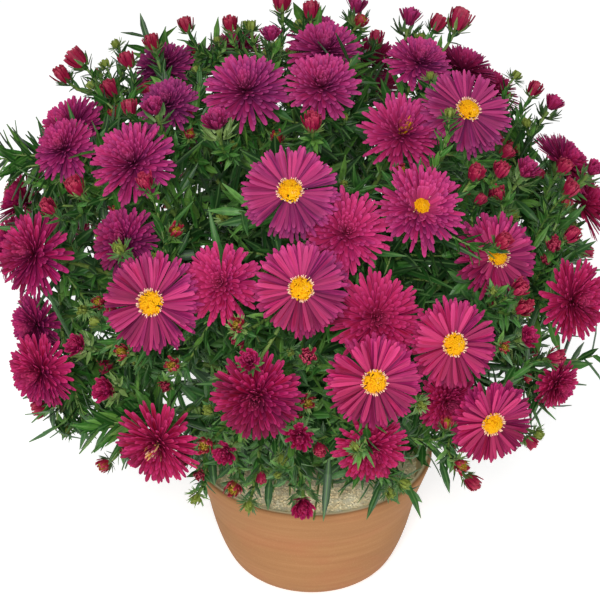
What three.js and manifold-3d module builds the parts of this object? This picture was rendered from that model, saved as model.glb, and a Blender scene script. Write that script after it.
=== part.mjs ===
// A compact aster in full bloom, growing in a round terracotta bowl.
// Millimetres, +Z up. The origin is the middle of the pot's base, and the front faces -Y.
import * as THREE from "three";
import { mergeVertices } from "three/addons/utils/BufferGeometryUtils.js";
import Module from "manifold-3d";

const wasm = await Module();
wasm.setup();

// Driving dimensions

const GAP = 0.3;
const UP = new THREE.Vector3(0, 0, 1);
const { clamp, degToRad } = THREE.MathUtils;

const POT = {
  rimRadius: 65,
  height: 70,
  restRadius: 37,
  footRadius: 46.5,
  footHeight: 8.5,
  shoulderRadius: 57,
  shoulderHeight: 45,
  wall: 4,
  floor: 6,
  facets: 26,
};

// Points to each of the pot's curves.
const PROFILE_STEPS = 2;

const SOIL = { top: 60, holeMargin: 0.5 };

// The ellipsoid on which the blooms' middles lie.
const DOME = { radius: 149, halfHeight: 111, centre: new THREE.Vector3(-5, 0, 187) };

// The view in which blooms and buds were placed. A point's pixel in its square picture of
// VIEW.side pixels gives a sight line, and the sight line meets the dome.
const VIEW = {
  side: 600,
  focal: 1930,
  distance: 1000,
  pitch: degToRad(30),
  aim: new THREE.Vector3(-6.4, 0, 161),
};

// A leafy stem starts straight at the soil, a middle one and six round it on a ring, and leans out
// to its spread at its rise. Its straight is the height over which it leaves the soil upright.
const SIDE_STEMS = 6;
const STEM = {
  radius: 2.6,
  tipRadius: 2.1,
  sides: 5,
  ring: 13,
  buried: 12,
  straight: 30,
  lean: { out: 34, height: 123 },
  spread: 56,
  rise: 176,
  lastNode: 0.7,
};
const MIDDLE_STEM = { straight: 40, turnHeight: 156, height: 206 };
// Angle from the dome's top within which the middle stem carries what grows.
const MIDDLE_CONE = degToRad(40);

// A stalk leaves its stem between the two shares of the stem's length: near the top for what grows
// close to the stem's own direction, lower for what hangs below lowestTilt.
const STALK = { radius: 1.3, footRadius: 1, sides: 3, lowestTilt: degToRad(125), root: 12 };
const LEAVE_SHARE = { near: 0.95, far: 0.35, farMiddle: 0.6, least: 0.15, most: 0.97 };
const STALK_BEND = { leave: 0.3, arrive: [0.25, 0.45], drift: 0.006, tries: 60 };
const FORKS = [
  { segment: 0, shares: [0.6, 0.85] },
  { segment: 2, shares: [0.2, 0.5, 0.8] },
  { segment: 4, shares: [0.5] },
];
const NODE = { shares: [0.56, 0.88], length: 2, bands: [1, 3] };
const LOW_NODE = { shares: [0.2, 0.42], length: 2.6, bands: [2, 4] };
const CUP = { radius: 4, depth: 5 };

const TWIG = { radius: 0.9, footRadius: 0.4, sides: 4, root: 4, shortest: 8, longest: 90, choices: 10 };
const LEAF = { length: 32, width: 6, thickness: 1, broadAt: 0.42, drop: 0.05, rises: [0.6, 0.9, 0.3] };
const LOW_LEAF = { length: 54, width: 8, thickness: 1.1, broadAt: 0.45, drop: 0.3, rises: [0.5, 0.2, 0.9] };
const LEAF_SIZES = [0.75, 1.25];

const STEM_SEED = 100;
const PETAL_SEED = 500;

const COLOURS = {
  terracotta: 0xc08a5c,
  soil: 0xd8be92,
  leaf: 0x2f5a26,
  petal: 0xb3245f,
  disc: 0xf2b90f,
};

// Blooms and buds as they show in the view

// Each bloom has its middle's pixel, its width in millimetres, its form and its height off the dome.
const DOUBLE = "double";
const OPEN = "open";
const BLOOMS = [
  { at: [44, 114], across: 40, form: DOUBLE, lift: -4 },
  { at: [64, 148], across: 34, form: DOUBLE, lift: 6 },
  { at: [133, 162], across: 42, form: DOUBLE, lift: 2 },
  { at: [33, 254], across: 42, form: DOUBLE, lift: 0 },
  { at: [12, 332], across: 34, form: DOUBLE, lift: -8 },
  { at: [40, 372], across: 38, form: DOUBLE, lift: 4 },
  { at: [124, 240], across: 34, form: DOUBLE, lift: -12 },
  { at: [152, 303], across: 46, form: OPEN, lift: 4 },
  { at: [221, 283], across: 38, form: DOUBLE, lift: -4 },
  { at: [158, 444], across: 42, form: DOUBLE, lift: 4 },
  { at: [257, 397], across: 42, form: DOUBLE, lift: -2 },
  { at: [246, 90], across: 42, form: DOUBLE, lift: 2 },
  { at: [163, 66], across: 34, form: DOUBLE, lift: -6 },
  { at: [168, 104], across: 30, form: DOUBLE, lift: -2 },
  { at: [325, 50], across: 38, form: DOUBLE, lift: -6 },
  { at: [322, 86], across: 36, form: DOUBLE, lift: 8 },
  { at: [318, 16], across: 32, form: DOUBLE, lift: -6 },
  { at: [402, 133], across: 42, form: DOUBLE, lift: 0 },
  { at: [467, 112], across: 44, form: OPEN, lift: 6 },
  { at: [421, 207], across: 43, form: OPEN, lift: 2 },
  { at: [346, 232], across: 42, form: DOUBLE, lift: -2 },
  { at: [290, 192], across: 44, form: OPEN, lift: 2 },
  { at: [301, 289], across: 43, form: OPEN, lift: 2 },
  { at: [377, 318], across: 44, form: DOUBLE, lift: -6 },
  { at: [374, 381], across: 43, form: OPEN, lift: 6 },
  { at: [453, 344], across: 42, form: OPEN, lift: 2 },
  { at: [496, 256], across: 42, form: OPEN, lift: -4 },
  { at: [574, 300], across: 40, form: DOUBLE, lift: 0 },
  { at: [491, 422], across: 41, form: OPEN, lift: 6 },
  { at: [448, 402], across: 30, form: DOUBLE, lift: -6 },
  { at: [371, 448], across: 36, form: DOUBLE, lift: -4 },
  { at: [573, 392], across: 27, form: DOUBLE, lift: 0 },
  { at: [419, 62], across: 34, form: DOUBLE, lift: -4 },
];

// Groups of touching blooms on the far side: each group's bearing, and its angle from the top.
const BACK_GROUPS = [
  { bearing: 48, tilt: 92 },
  { bearing: 108, tilt: 93 },
  { bearing: 7, tilt: 70 },
  { bearing: 148, tilt: 92 },
  { bearing: 76, tilt: 65 },
  { bearing: 112, tilt: 57 },
  { bearing: 40, tilt: 50 },
  { bearing: 177, tilt: 84 },
];
const BACK_BLOOM = { across: 40, apart: 26, perGroup: 3, lift: -3, sizes: [0.94, 1.06], fan: 0.01 };

// Closed buds: pixel, and width in millimetres.
const BUDS = [
  [84, 43, 8], [127, 60, 8], [152, 42, 8], [145, 182, 8], [75, 187, 9], [230, 24, 8], [251, 25, 8],
  [311, 10, 9], [282, 3, 9], [313, 122, 9], [456, 4, 9], [544, 82, 8], [564, 167, 8], [570, 189, 8],
  [475, 173, 8], [501, 170, 8], [48, 207, 8], [119, 248, 9], [122, 352, 8], [173, 366, 8],
  [237, 325, 8], [307, 357, 8], [520, 288, 8], [524, 308, 8], [556, 357, 8], [572, 235, 8],
  [28, 415, 9], [64, 431, 8], [98, 472, 8], [129, 448, 8], [195, 499, 8], [205, 445, 9], [233, 488, 9],
  [248, 507, 8], [391, 494, 8], [461, 465, 8], [473, 484, 8], [549, 442, 8],
];

// Half-open buds, with petals standing out of them.
const TUFTS = [
  [271, 37, 11], [217, 124, 14], [414, 10, 14], [357, 8, 13], [568, 96, 12], [525, 172, 13],
  [592, 171, 11], [79, 346, 12], [107, 389, 13], [226, 452, 12], [300, 436, 13], [303, 503, 13],
  [250, 361, 10], [155, 110, 12], [526, 338, 11],
];

// Heights off the dome at which a bud may stand, the first choice first.
const BUD_LIFTS = [10, 16, 4, 22, -4, -10];

// A bud's and a half-open bud's proportions, as shares of its width.
const BUD = { neck: -0.9, low: -0.4, high: 0.2, tip: 0.7, towardsSky: 0.5 };
const TUFT = { base: -0.35, baseRadius: 0.25, middle: 0.5 };

// Far buds: how many places of the spiral are tried, from the dome's top down to lowest.
const BACK_BUDS = { tries: 50, across: 8, clear: 24, highest: 0.9, lowest: -0.35, fromMiddle: 20 };

// Long leaves that hang over the pot: the pixels of root and tip.
const HANGING_LEAVES = [
  { root: [329, 459], tip: [326, 521] },
  { root: [383, 482], tip: [366, 518] },
  { root: [402, 476], tip: [426, 515] },
  { root: [270, 480], tip: [266, 510] },
  { root: [212, 460], tip: [213, 486] },
  { root: [441, 462], tip: [452, 492] },
];
const HANGING = { lift: -6, nearer: 4, socket: 1 };

// Small helpers

// A repeatable stream of numbers from 0 to 1.
function stream(seed) {
  let state = seed >>> 0;
  return () => {
    state = (state + 0x6d2b79f5) >>> 0;
    let t = Math.imul(state ^ (state >>> 15), 1 | state);
    t = (t + Math.imul(t ^ (t >>> 7), 61 | t)) ^ t;
    return ((t ^ (t >>> 14)) >>> 0) / 4294967296;
  };
}

function vec(x, y, z) {
  return new THREE.Vector3(x, y, z);
}

function mix(a, b, share) {
  return a + (b - a) * share;
}

// A point at an angle and a distance from the Z axis.
function polar(angle, radius, height) {
  return vec(radius * Math.cos(angle), radius * Math.sin(angle), height);
}

// A closed solid from a geometry whose faces point out.
function solid(geometry) {
  const bare = geometry.clone();
  bare.deleteAttribute("normal");
  bare.deleteAttribute("uv");
  const merged = mergeVertices(bare, 1e-4);
  const mesh = new wasm.Mesh({
    numProp: 3,
    vertProperties: merged.attributes.position.array,
    triVerts: new Uint32Array(merged.index.array),
  });
  return new wasm.Manifold(mesh);
}

// A solid from a list of points and a list of triangles.
function faceted(points, triangles) {
  const geometry = new THREE.BufferGeometry();
  geometry.setFromPoints(points);
  geometry.setIndex(triangles.flat());
  return solid(geometry);
}

function join(solids) {
  return wasm.Manifold.union(solids);
}

function meshOf(name, made, material) {
  const { vertProperties, triVerts } = made.getMesh();
  const geometry = new THREE.BufferGeometry();
  geometry.setAttribute("position", new THREE.BufferAttribute(vertProperties, 3));
  geometry.setIndex(new THREE.BufferAttribute(triVerts, 1));
  geometry.computeVertexNormals();
  const mesh = new THREE.Mesh(geometry, material);
  mesh.name = name;
  return mesh;
}

// A solid from faces that share their corner points.
function closed(faces) {
  const points = [...new Set(faces.flat())];
  return faceted(points, faces.map((face) => face.map((point) => points.indexOf(point))));
}

function turnedOver([a, b, c]) {
  return [a, c, b];
}

function capped(ring) {
  return ring.slice(2).map((point, i) => [ring[0], ring[i + 1], point]);
}

// The two faces between a side of one ring and the same side of the next.
function sideFaces([lowLeft, lowRight, highRight, highLeft]) {
  return [
    [lowLeft, lowRight, highRight],
    [lowLeft, highRight, highLeft],
  ];
}

function ringCorners(low, high, i) {
  const j = (i + 1) % low.length;
  return [low[i], low[j], high[j], high[i]];
}

// The faces between two rings of equal count, the upper of which may be a single tip.
function bandFaces(low, high) {
  if (high.length === 1) return low.map((point, i) => [point, low[(i + 1) % low.length], high[0]]);
  return low.flatMap((_, i) => sideFaces(ringCorners(low, high, i)));
}

function bandsOf(rings) {
  return rings.slice(1).flatMap((high, r) => bandFaces(rings[r], high));
}

function skinned(rings) {
  return closed([...capped(rings[0]).map(turnedOver), ...bandsOf(rings), ...capped(rings.at(-1))]);
}

// A direction square to a heading, level where it can be.
function levelAcross(heading) {
  const across = UP.clone().cross(heading);
  return across.lengthSq() < 1e-4 ? vec(1, 0, 0) : across.normalize();
}

// A ring of points round a place, square to a heading, that starts along the across direction.
function ringRound(place, heading, across, radius, count) {
  const over = heading.clone().cross(across);
  return Array.from({ length: count }, (_, i) => {
    const { x, y } = polar((2 * Math.PI * i) / count, radius, 0);
    return place.clone().addScaledVector(across, x).addScaledVector(over, y);
  });
}

// Rings square to stations of place, heading and radius, without twist from one to the next.
function ringsThrough(stations, count, turn = 0) {
  const across = levelAcross(stations[0].heading).applyAxisAngle(stations[0].heading, turn);
  return stations.map(({ place, heading, radius }) => {
    across.addScaledVector(heading, -across.dot(heading)).normalize();
    return radius ? ringRound(place, heading, across, radius, count) : [place];
  });
}

function stemThrough(stations, count) {
  return skinned(ringsThrough(stations, count));
}

// The view's sight lines and the dome

const FORWARD = vec(0, Math.cos(VIEW.pitch), -Math.sin(VIEW.pitch));
const VIEW_UP = vec(0, Math.sin(VIEW.pitch), Math.cos(VIEW.pitch));
const EYE = VIEW.aim.clone().addScaledVector(FORWARD, -VIEW.distance);

function sightLine([x, y]) {
  return FORWARD.clone()
    .addScaledVector(vec(1, 0, 0), (x - VIEW.side / 2) / VIEW.focal)
    .addScaledVector(VIEW_UP, (VIEW.side / 2 - y) / VIEW.focal)
    .normalize();
}

function domeSize(lift) {
  return vec(DOME.radius + lift, DOME.radius + lift, DOME.halfHeight + lift);
}

function onDome(unit, lift) {
  const size = domeSize(lift);
  return {
    place: unit.clone().multiply(size).add(DOME.centre),
    outward: unit.clone().divide(size).normalize(),
  };
}

// Where a pixel's sight line first meets the dome, or the dome's edge if it passes by.
function seenOnDome(pixel, lift) {
  const size = domeSize(lift);
  const from = EYE.clone().sub(DOME.centre).divide(size);
  const along = sightLine(pixel).divide(size);
  const a = along.dot(along);
  const b = from.dot(along);
  const c = from.dot(from) - 1;
  const reach = (-b - Math.sqrt(Math.max(0, b * b - a * c))) / a;
  return onDome(from.addScaledVector(along, reach).normalize(), lift);
}

// A point of the dome by its bearing and its angle from the top.
function domePoint(bearing, tilt, lift) {
  return onDome(polar(bearing, Math.sin(tilt), Math.cos(tilt)), lift);
}

// Blooms

// Rows of petals, outermost first, as shares of the bloom's radius. A row is a star of one point
// a petal: reach is how far its tips stand out and tip how high, notch and cleft are the same for
// its clefts, and blunt is the share of a petal's width that its tip keeps.
const ROWS = {
  [DOUBLE]: [
    { petals: 11, reach: 1, tip: -0.08, notch: 0.64, cleft: -0.02, blunt: 0 },
    { petals: 8, reach: 0.82, tip: 0.2, notch: 0.4, cleft: 0.1, blunt: 0 },
    { petals: 6, reach: 0.56, tip: 0.42, notch: 0.22, cleft: 0.26, blunt: 0 },
  ],
  [OPEN]: [
    { petals: 13, reach: 0.97, tip: -0.05, notch: 0.64, cleft: -0.02, blunt: 0 },
    { petals: 11, reach: 0.94, tip: 0.12, notch: 0.42, cleft: 0.05, blunt: 0.36 },
  ],
};
const ROW_TURN = 0.3;
const PETAL_LENGTHS = [0.94, 1.02];
const PETAL_WAVE = 0.7;
const SEAT = { height: -0.2, radius: 0.2, sides: 5 };
const RECEPTACLE = { radius: 0.25, top: 0.2, sides: 8 };
const HUB = 0.44;
const DISC = { radius: 0.25, height: 0.17, sides: 8, profile: [[0.9, 0], [1, 0.4], [0.62, 0.88]] };

// A row's outline: a cleft, then one tip or two, petal by petal.
function rowOutline({ petals, reach, tip, notch, cleft, blunt }, turn, radius, random) {
  const pitch = (2 * Math.PI) / petals;
  const outline = [];
  for (let i = 0; i < petals; i++) {
    const angle = turn + i * pitch;
    const long = mix(...PETAL_LENGTHS, random()) * reach * radius;
    const high = tip * radius + mix(-PETAL_WAVE, PETAL_WAVE, random());
    outline.push(polar(angle - pitch / 2, notch * radius, cleft * radius));
    if (blunt) outline.push(polar(angle - (blunt * pitch) / 2, long, high));
    outline.push(polar(angle + (blunt * pitch) / 2, long, high));
  }
  return outline;
}

function flatRing(count, radius, height, turn = 0) {
  return Array.from({ length: count }, (_, i) => polar(turn + (2 * Math.PI * i) / count, radius, height));
}

// Triangles between two rings about the Z axis, walked by angle. Both run anticlockwise, and the
// faces look up where the outer ring is given first.
function zipped(outer, inner) {
  const angleOf = ({ x, y }) => (Math.atan2(y, x) + 2 * Math.PI) % (2 * Math.PI);
  const sorted = (ring) => {
    const first = ring.reduce((best, point, i) => (angleOf(point) < angleOf(ring[best]) ? i : best), 0);
    return [...ring.slice(first), ...ring.slice(0, first)];
  };
  const [a, b] = [sorted(outer), sorted(inner)];
  const angle = (ring, i) => angleOf(ring[i % ring.length]) + 2 * Math.PI * Math.floor(i / ring.length);
  const triangles = [];
  let [i, j] = [0, 0];
  while (i < a.length || j < b.length) {
    const outerNext = (angle(a, i) + angle(a, i + 1)) / 2;
    const innerNext = (angle(b, j) + angle(b, j + 1)) / 2;
    const stepOuter = j >= b.length || (i < a.length && outerNext <= innerNext);
    if (stepOuter) triangles.push([a[i % a.length], a[(i + 1) % a.length], b[j % b.length]]);
    else triangles.push([a[i % a.length], b[(j + 1) % b.length], b[j % b.length]]);
    if (stepOuter) i++;
    else j++;
  }
  return triangles;
}

// A bloom's petals about the Z axis as one closed surface: a flat seat, then row on row, each
// standing on the clefts' ring that the row below reaches in to.
function petalsOf(form, radius, random) {
  const rows = ROWS[form].map((row, i) => rowOutline(row, ROW_TURN * i, radius, random));
  const seat = flatRing(SEAT.sides, SEAT.radius * radius, SEAT.height * radius);
  const faces = [...capped(seat).map(turnedOver), ...zipped(rows[0], seat).map(turnedOver)];
  rows.forEach((outline, i) => {
    const next = rows[i + 1];
    const { blunt } = ROWS[form][i + 1] ?? {};
    if (next) faces.push(...zipped(outline, cleftsOf(next, blunt)), ...undersides(next, blunt));
    else if (form === DOUBLE) faces.push(...zipped(outline, [vec(0, 0, HUB * radius)]));
    else {
      const top = flatRing(RECEPTACLE.sides, RECEPTACLE.radius * radius, RECEPTACLE.top * radius);
      faces.push(...zipped(outline, top), ...capped(top));
    }
  });
  return closed(faces);
}

function cleftsOf(outline, blunt) {
  return outline.filter((_, i) => i % (blunt ? 3 : 2) === 0);
}

// The undersides of a row's petals, from cleft to cleft.
function undersides(outline, blunt) {
  const step = blunt ? 3 : 2;
  const faces = [];
  for (let i = 0; i < outline.length; i += step) {
    const petal = [...outline.slice(i, i + step), outline[(i + step) % outline.length]];
    for (let k = 1; k < petal.length - 1; k++) faces.push([petal[0], petal[k + 1], petal[k]]);
  }
  return faces;
}

// The brush of petals that stands out of a half-open bud.
const BRUSH = { petals: 8, reach: 1, tip: 0.7, notch: 0.5, cleft: 0.3, blunt: 0 };

// A half-open bud on its twig, in the bud's own frame: the brush stands on the twig's last ring.
function tuftSolid(rings, radius, random) {
  const outline = rowOutline(BRUSH, 0, radius, random);
  return closed([
    ...capped(rings[0]).map(turnedOver),
    ...bandsOf(rings),
    ...zipped(outline, rings.at(-1)).map(turnedOver),
    ...zipped(outline, [vec(0, 0, TUFT.middle * radius)]),
  ]);
}

// The yellow middle of an open bloom, a low dome that rests on its receptacle.
function discOf(radius) {
  const low = RECEPTACLE.top * radius + GAP;
  const rings = DISC.profile.map(([share, rise]) =>
    flatRing(DISC.sides, share * DISC.radius * radius, low + rise * DISC.height * radius),
  );
  return skinned([...rings, [vec(0, 0, low + DISC.height * radius)]]);
}

function frameOf({ place, facing, spin }) {
  const turn = new THREE.Quaternion().setFromUnitVectors(UP, facing);
  turn.multiply(new THREE.Quaternion().setFromAxisAngle(UP, spin));
  return new THREE.Matrix4().compose(place, turn, vec(1, 1, 1));
}

function placed(made, matrix) {
  return made.transform(matrix.elements);
}

// The space that a bloom fills, with a margin: its top falls and its underside rises outwards.
const CROWN = { [DOUBLE]: 0.5, [OPEN]: 0.42 };
const EDGE = { top: 0.16, bottom: -0.12, reach: 1.02 };
const OUTLINE = { shares: [0.1, 0.4, 0.7, 0.9, 1], points: 18, cupPoints: 6 };

function inBloom(bloom, point, margin) {
  const from = point.clone().sub(bloom.place);
  if (from.length() > bloom.radius * (1 + EDGE.top) + margin) return false;
  const height = from.dot(bloom.facing);
  const out = from.addScaledVector(bloom.facing, -height).length();
  const share = Math.min(1, out / bloom.radius);
  const top = bloom.radius * mix(CROWN[bloom.form], EDGE.top, share * share);
  const bottom = bloom.radius * mix(SEAT.height, EDGE.bottom, share);
  return out < bloom.radius * EDGE.reach + margin && height > bottom - margin && height < top + margin;
}

// Points all over a bloom's outline and its cup, for testing them against its neighbours.
function outlinePoints(bloom) {
  const seat = SEAT.height * bloom.radius;
  const points = [vec(0, 0, seat - CUP.depth), ...flatRing(OUTLINE.cupPoints, CUP.radius, seat - GAP)];
  for (const share of OUTLINE.shares) {
    const top = mix(CROWN[bloom.form], EDGE.top, share * share);
    const bottom = mix(SEAT.height, EDGE.bottom, share);
    for (const height of [top, bottom])
      points.push(...flatRing(OUTLINE.points, share * bloom.radius, height * bloom.radius));
  }
  const matrix = frameOf(bloom);
  return points.map((point) => point.applyMatrix4(matrix));
}

function crossing(a, b) {
  if (a.place.distanceTo(b.place) > a.radius + b.radius + 2) return false;
  return outlinePoints(a).some((p) => inBloom(b, p, GAP)) || outlinePoints(b).some((p) => inBloom(a, p, GAP));
}

// Blooms that would cross slide apart: along their sight lines, or out of and into the bush.
// A group slides as one.
const SLIDE = { step: 0.7, rounds: 80 };

function settle(units) {
  const shift = (unit, step) => unit.forEach((bloom) => bloom.place.addScaledVector(unit[0].slide, step));
  const inOrder = (a, b) => (a[0].lift < b[0].lift ? [a, b] : [b, a]);
  const pairs = units.flatMap((a, i) => units.slice(i + 1).map((b) => inOrder(a, b)));
  for (let round = 0; round < SLIDE.rounds; round++) {
    const close = pairs.filter(([low, high]) => low.some((a) => high.some((b) => crossing(a, b))));
    if (!close.length) break;
    for (const [low, high] of close) {
      shift(low, -SLIDE.step);
      shift(high, SLIDE.step);
    }
  }
}

// Front blooms face partly outwards and partly towards the viewer, as in the view.
const TOWARDS_VIEWER = 0.7;

function frontBlooms() {
  return BLOOMS.map(({ at, across, form, lift }, i) => {
    const { place, outward } = seenOnDome(at, lift);
    const slide = sightLine(at).negate();
    const facing = outward.clone().addScaledVector(slide, TOWARDS_VIEWER).normalize();
    const name = `bloom_${String(i + 1).padStart(2, "0")}`;
    return [{ name, place, facing, slide, radius: across / 2, form, lift, spin: i }];
  });
}

// Far blooms face outwards and a little upwards, three together.
const TOWARDS_SKY = 0.3;

function backBlooms() {
  const { across, apart, perGroup, lift, sizes, fan } = BACK_BLOOM;
  return BACK_GROUPS.map(({ bearing, tilt }, group) => {
    const { place, outward } = domePoint(degToRad(bearing), degToRad(tilt), lift);
    const corners = ringRound(place, outward, levelAcross(outward), apart / Math.sqrt(3), perGroup);
    return corners.map((corner, i) => {
      const away = corner.clone().sub(place).multiplyScalar(fan);
      const facing = outward.clone().addScaledVector(UP, TOWARDS_SKY).add(away).normalize();
      const radius = mix(...sizes, ((group + i) % perGroup) / (perGroup - 1)) * (across / 2);
      const name = `bloom_group_${group + 1}`;
      return { name, place: corner, facing, slide: outward, radius, form: DOUBLE, lift, spin: i };
    });
  });
}

// Stems, leaves and buds

function anglesFrom(place) {
  const from = place.clone().sub(DOME.centre);
  return { tilt: Math.atan2(Math.hypot(from.x, from.y), from.z), bearing: Math.atan2(from.y, from.x) };
}

// Which leafy stem carries what is at a place: 0 is the middle one.
function stemFor(place) {
  const { tilt, bearing } = anglesFrom(place);
  if (tilt < MIDDLE_CONE) return 0;
  return 1 + ((Math.round((bearing / (2 * Math.PI)) * SIDE_STEMS) + SIDE_STEMS) % SIDE_STEMS);
}

// A leafy stem above the soil, up to where its last stalks part.
function mainCurve(index) {
  const foot = SOIL.top + 1;
  if (index === 0)
    return new THREE.CubicBezierCurve3(
      vec(0, 0, foot),
      vec(0, 0, SOIL.top + MIDDLE_STEM.straight),
      vec(DOME.centre.x, 0, MIDDLE_STEM.turnHeight),
      vec(DOME.centre.x, 0, MIDDLE_STEM.height),
    );
  const bearing = ((index - 1) * 2 * Math.PI) / SIDE_STEMS;
  return new THREE.CubicBezierCurve3(
    polar(bearing, STEM.ring, foot),
    polar(bearing, STEM.ring, SOIL.top + STEM.straight),
    polar(bearing, STEM.lean.out, STEM.lean.height),
    polar(bearing, STEM.spread, STEM.rise),
  );
}

// Shares of a curve close below and above each of its nodes.
function pairsRound({ shares, length }, curve) {
  const half = length / 2 / curve.getLength();
  return shares.flatMap((share) => [share - half, share + half]);
}

function stationsOn(curve, shares, radiusAt) {
  return shares.map((t) => ({ place: curve.getPoint(t), heading: curve.getTangent(t), radius: radiusAt(t) }));
}

// What already stands in the bush: the blooms, and balls along stems, leaves and buds.
const CELL = 8;

class Surroundings {
  constructor(blooms) {
    this.blooms = blooms;
    this.cells = new Map();
  }

  add(places, radius, owner) {
    for (const place of ballsAlong(places, radius)) {
      const key = place.clone().divideScalar(CELL).floor().toArray().join();
      if (!this.cells.has(key)) this.cells.set(key, []);
      this.cells.get(key).push({ place, radius, owner });
    }
  }

  // Whether a line is clear of the pot and of everything but its friends.
  clear(places, radius, friends) {
    return ballsAlong(places, radius).every((place) => this.clearAt(place, radius + GAP, friends));
  }

  clearAt(place, margin, friends) {
    if (nearPot(place, margin)) return false;
    if (this.blooms.some((bloom) => !friends.includes(bloom) && inBloom(bloom, place, margin))) return false;
    const [x, y, z] = place.clone().divideScalar(CELL).floor().toArray();
    for (const i of [x - 1, x, x + 1])
      for (const j of [y - 1, y, y + 1])
        for (const k of [z - 1, z, z + 1])
          if ((this.cells.get([i, j, k].join()) ?? []).some((ball) => meets(ball, place, margin, friends)))
            return false;
    return true;
  }
}

function meets(ball, place, margin, friends) {
  return !friends.includes(ball.owner) && ball.place.distanceTo(place) < ball.radius + margin;
}

function nearPot(place, margin) {
  const out = Math.hypot(place.x, place.y);
  if (place.z > POT.height + margin || out > POT.rimRadius + margin) return false;
  return out > POT.rimRadius - POT.wall - margin || place.z < SOIL.top + margin;
}

// Places along a line, close enough for balls of a radius to cover it.
const BALL_SPACING = 1.5;

function ballsAlong(places, radius) {
  return places.slice(1).flatMap((to, i) => {
    const from = places[i];
    const count = Math.ceil(from.distanceTo(to) / (BALL_SPACING * radius));
    return Array.from({ length: count }, (_, k) => from.clone().lerp(to, (k + 1) / count));
  });
}

// A line of places without its first stretch, where it grows out of its carrier.
function beyond(places, reach) {
  const rest = places.slice(1);
  const run = places[0].distanceTo(rest[0]);
  return [places[0].clone().lerp(rest[0], Math.min(1, reach / run)), ...rest];
}

// A lance-shaped blade raised from a small face of a stalk: its corners run anticlockwise as seen
// from outside, from the lower left.
function leafFaces([lowLeft, lowRight, highRight, highLeft], { left, keel, right, tip }) {
  return [
    [lowLeft, lowRight, keel],
    [lowRight, right, keel],
    [lowRight, highRight, right],
    [highRight, left, right],
    [highRight, highLeft, left],
    [highLeft, lowLeft, left],
    [lowLeft, keel, left],
    [left, keel, tip],
    [keel, right, tip],
    [right, left, tip],
  ];
}

// The corners of a blade beyond its root, where right is the way across it.
function bladeCorners(root, heading, right, length, { width, thickness, broadAt, drop }) {
  const over = heading.clone().cross(right).normalize();
  const at = (share, rise) =>
    root.clone().addScaledVector(heading, share * length).addScaledVector(over, rise * length);
  const broad = at(broadAt, LEAF.drop);
  const tip = at(1, -drop);
  return {
    left: broad.clone().addScaledVector(right, -width / 2),
    right: broad.clone().addScaledVector(right, width / 2),
    keel: broad.clone().addScaledVector(over, -thickness),
    tip,
    middle: [root, broad, tip],
  };
}

// A stalk's solid from its rings, with leaves raised between the pairs of rings at its nodes.
function stalkSolid(rings, leaves) {
  const faces = [...capped(rings[0]).map(turnedOver), ...capped(rings.at(-1))];
  rings.slice(1).forEach((high, band) => {
    high.forEach((_, side) => {
      const corners = ringCorners(rings[band], high, side);
      const leaf = leaves.find((one) => one.band === band && one.side === side);
      faces.push(...(leaf ? leafFaces(corners, leaf.blade) : sideFaces(corners)));
    });
  });
  return closed(faces);
}

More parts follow.
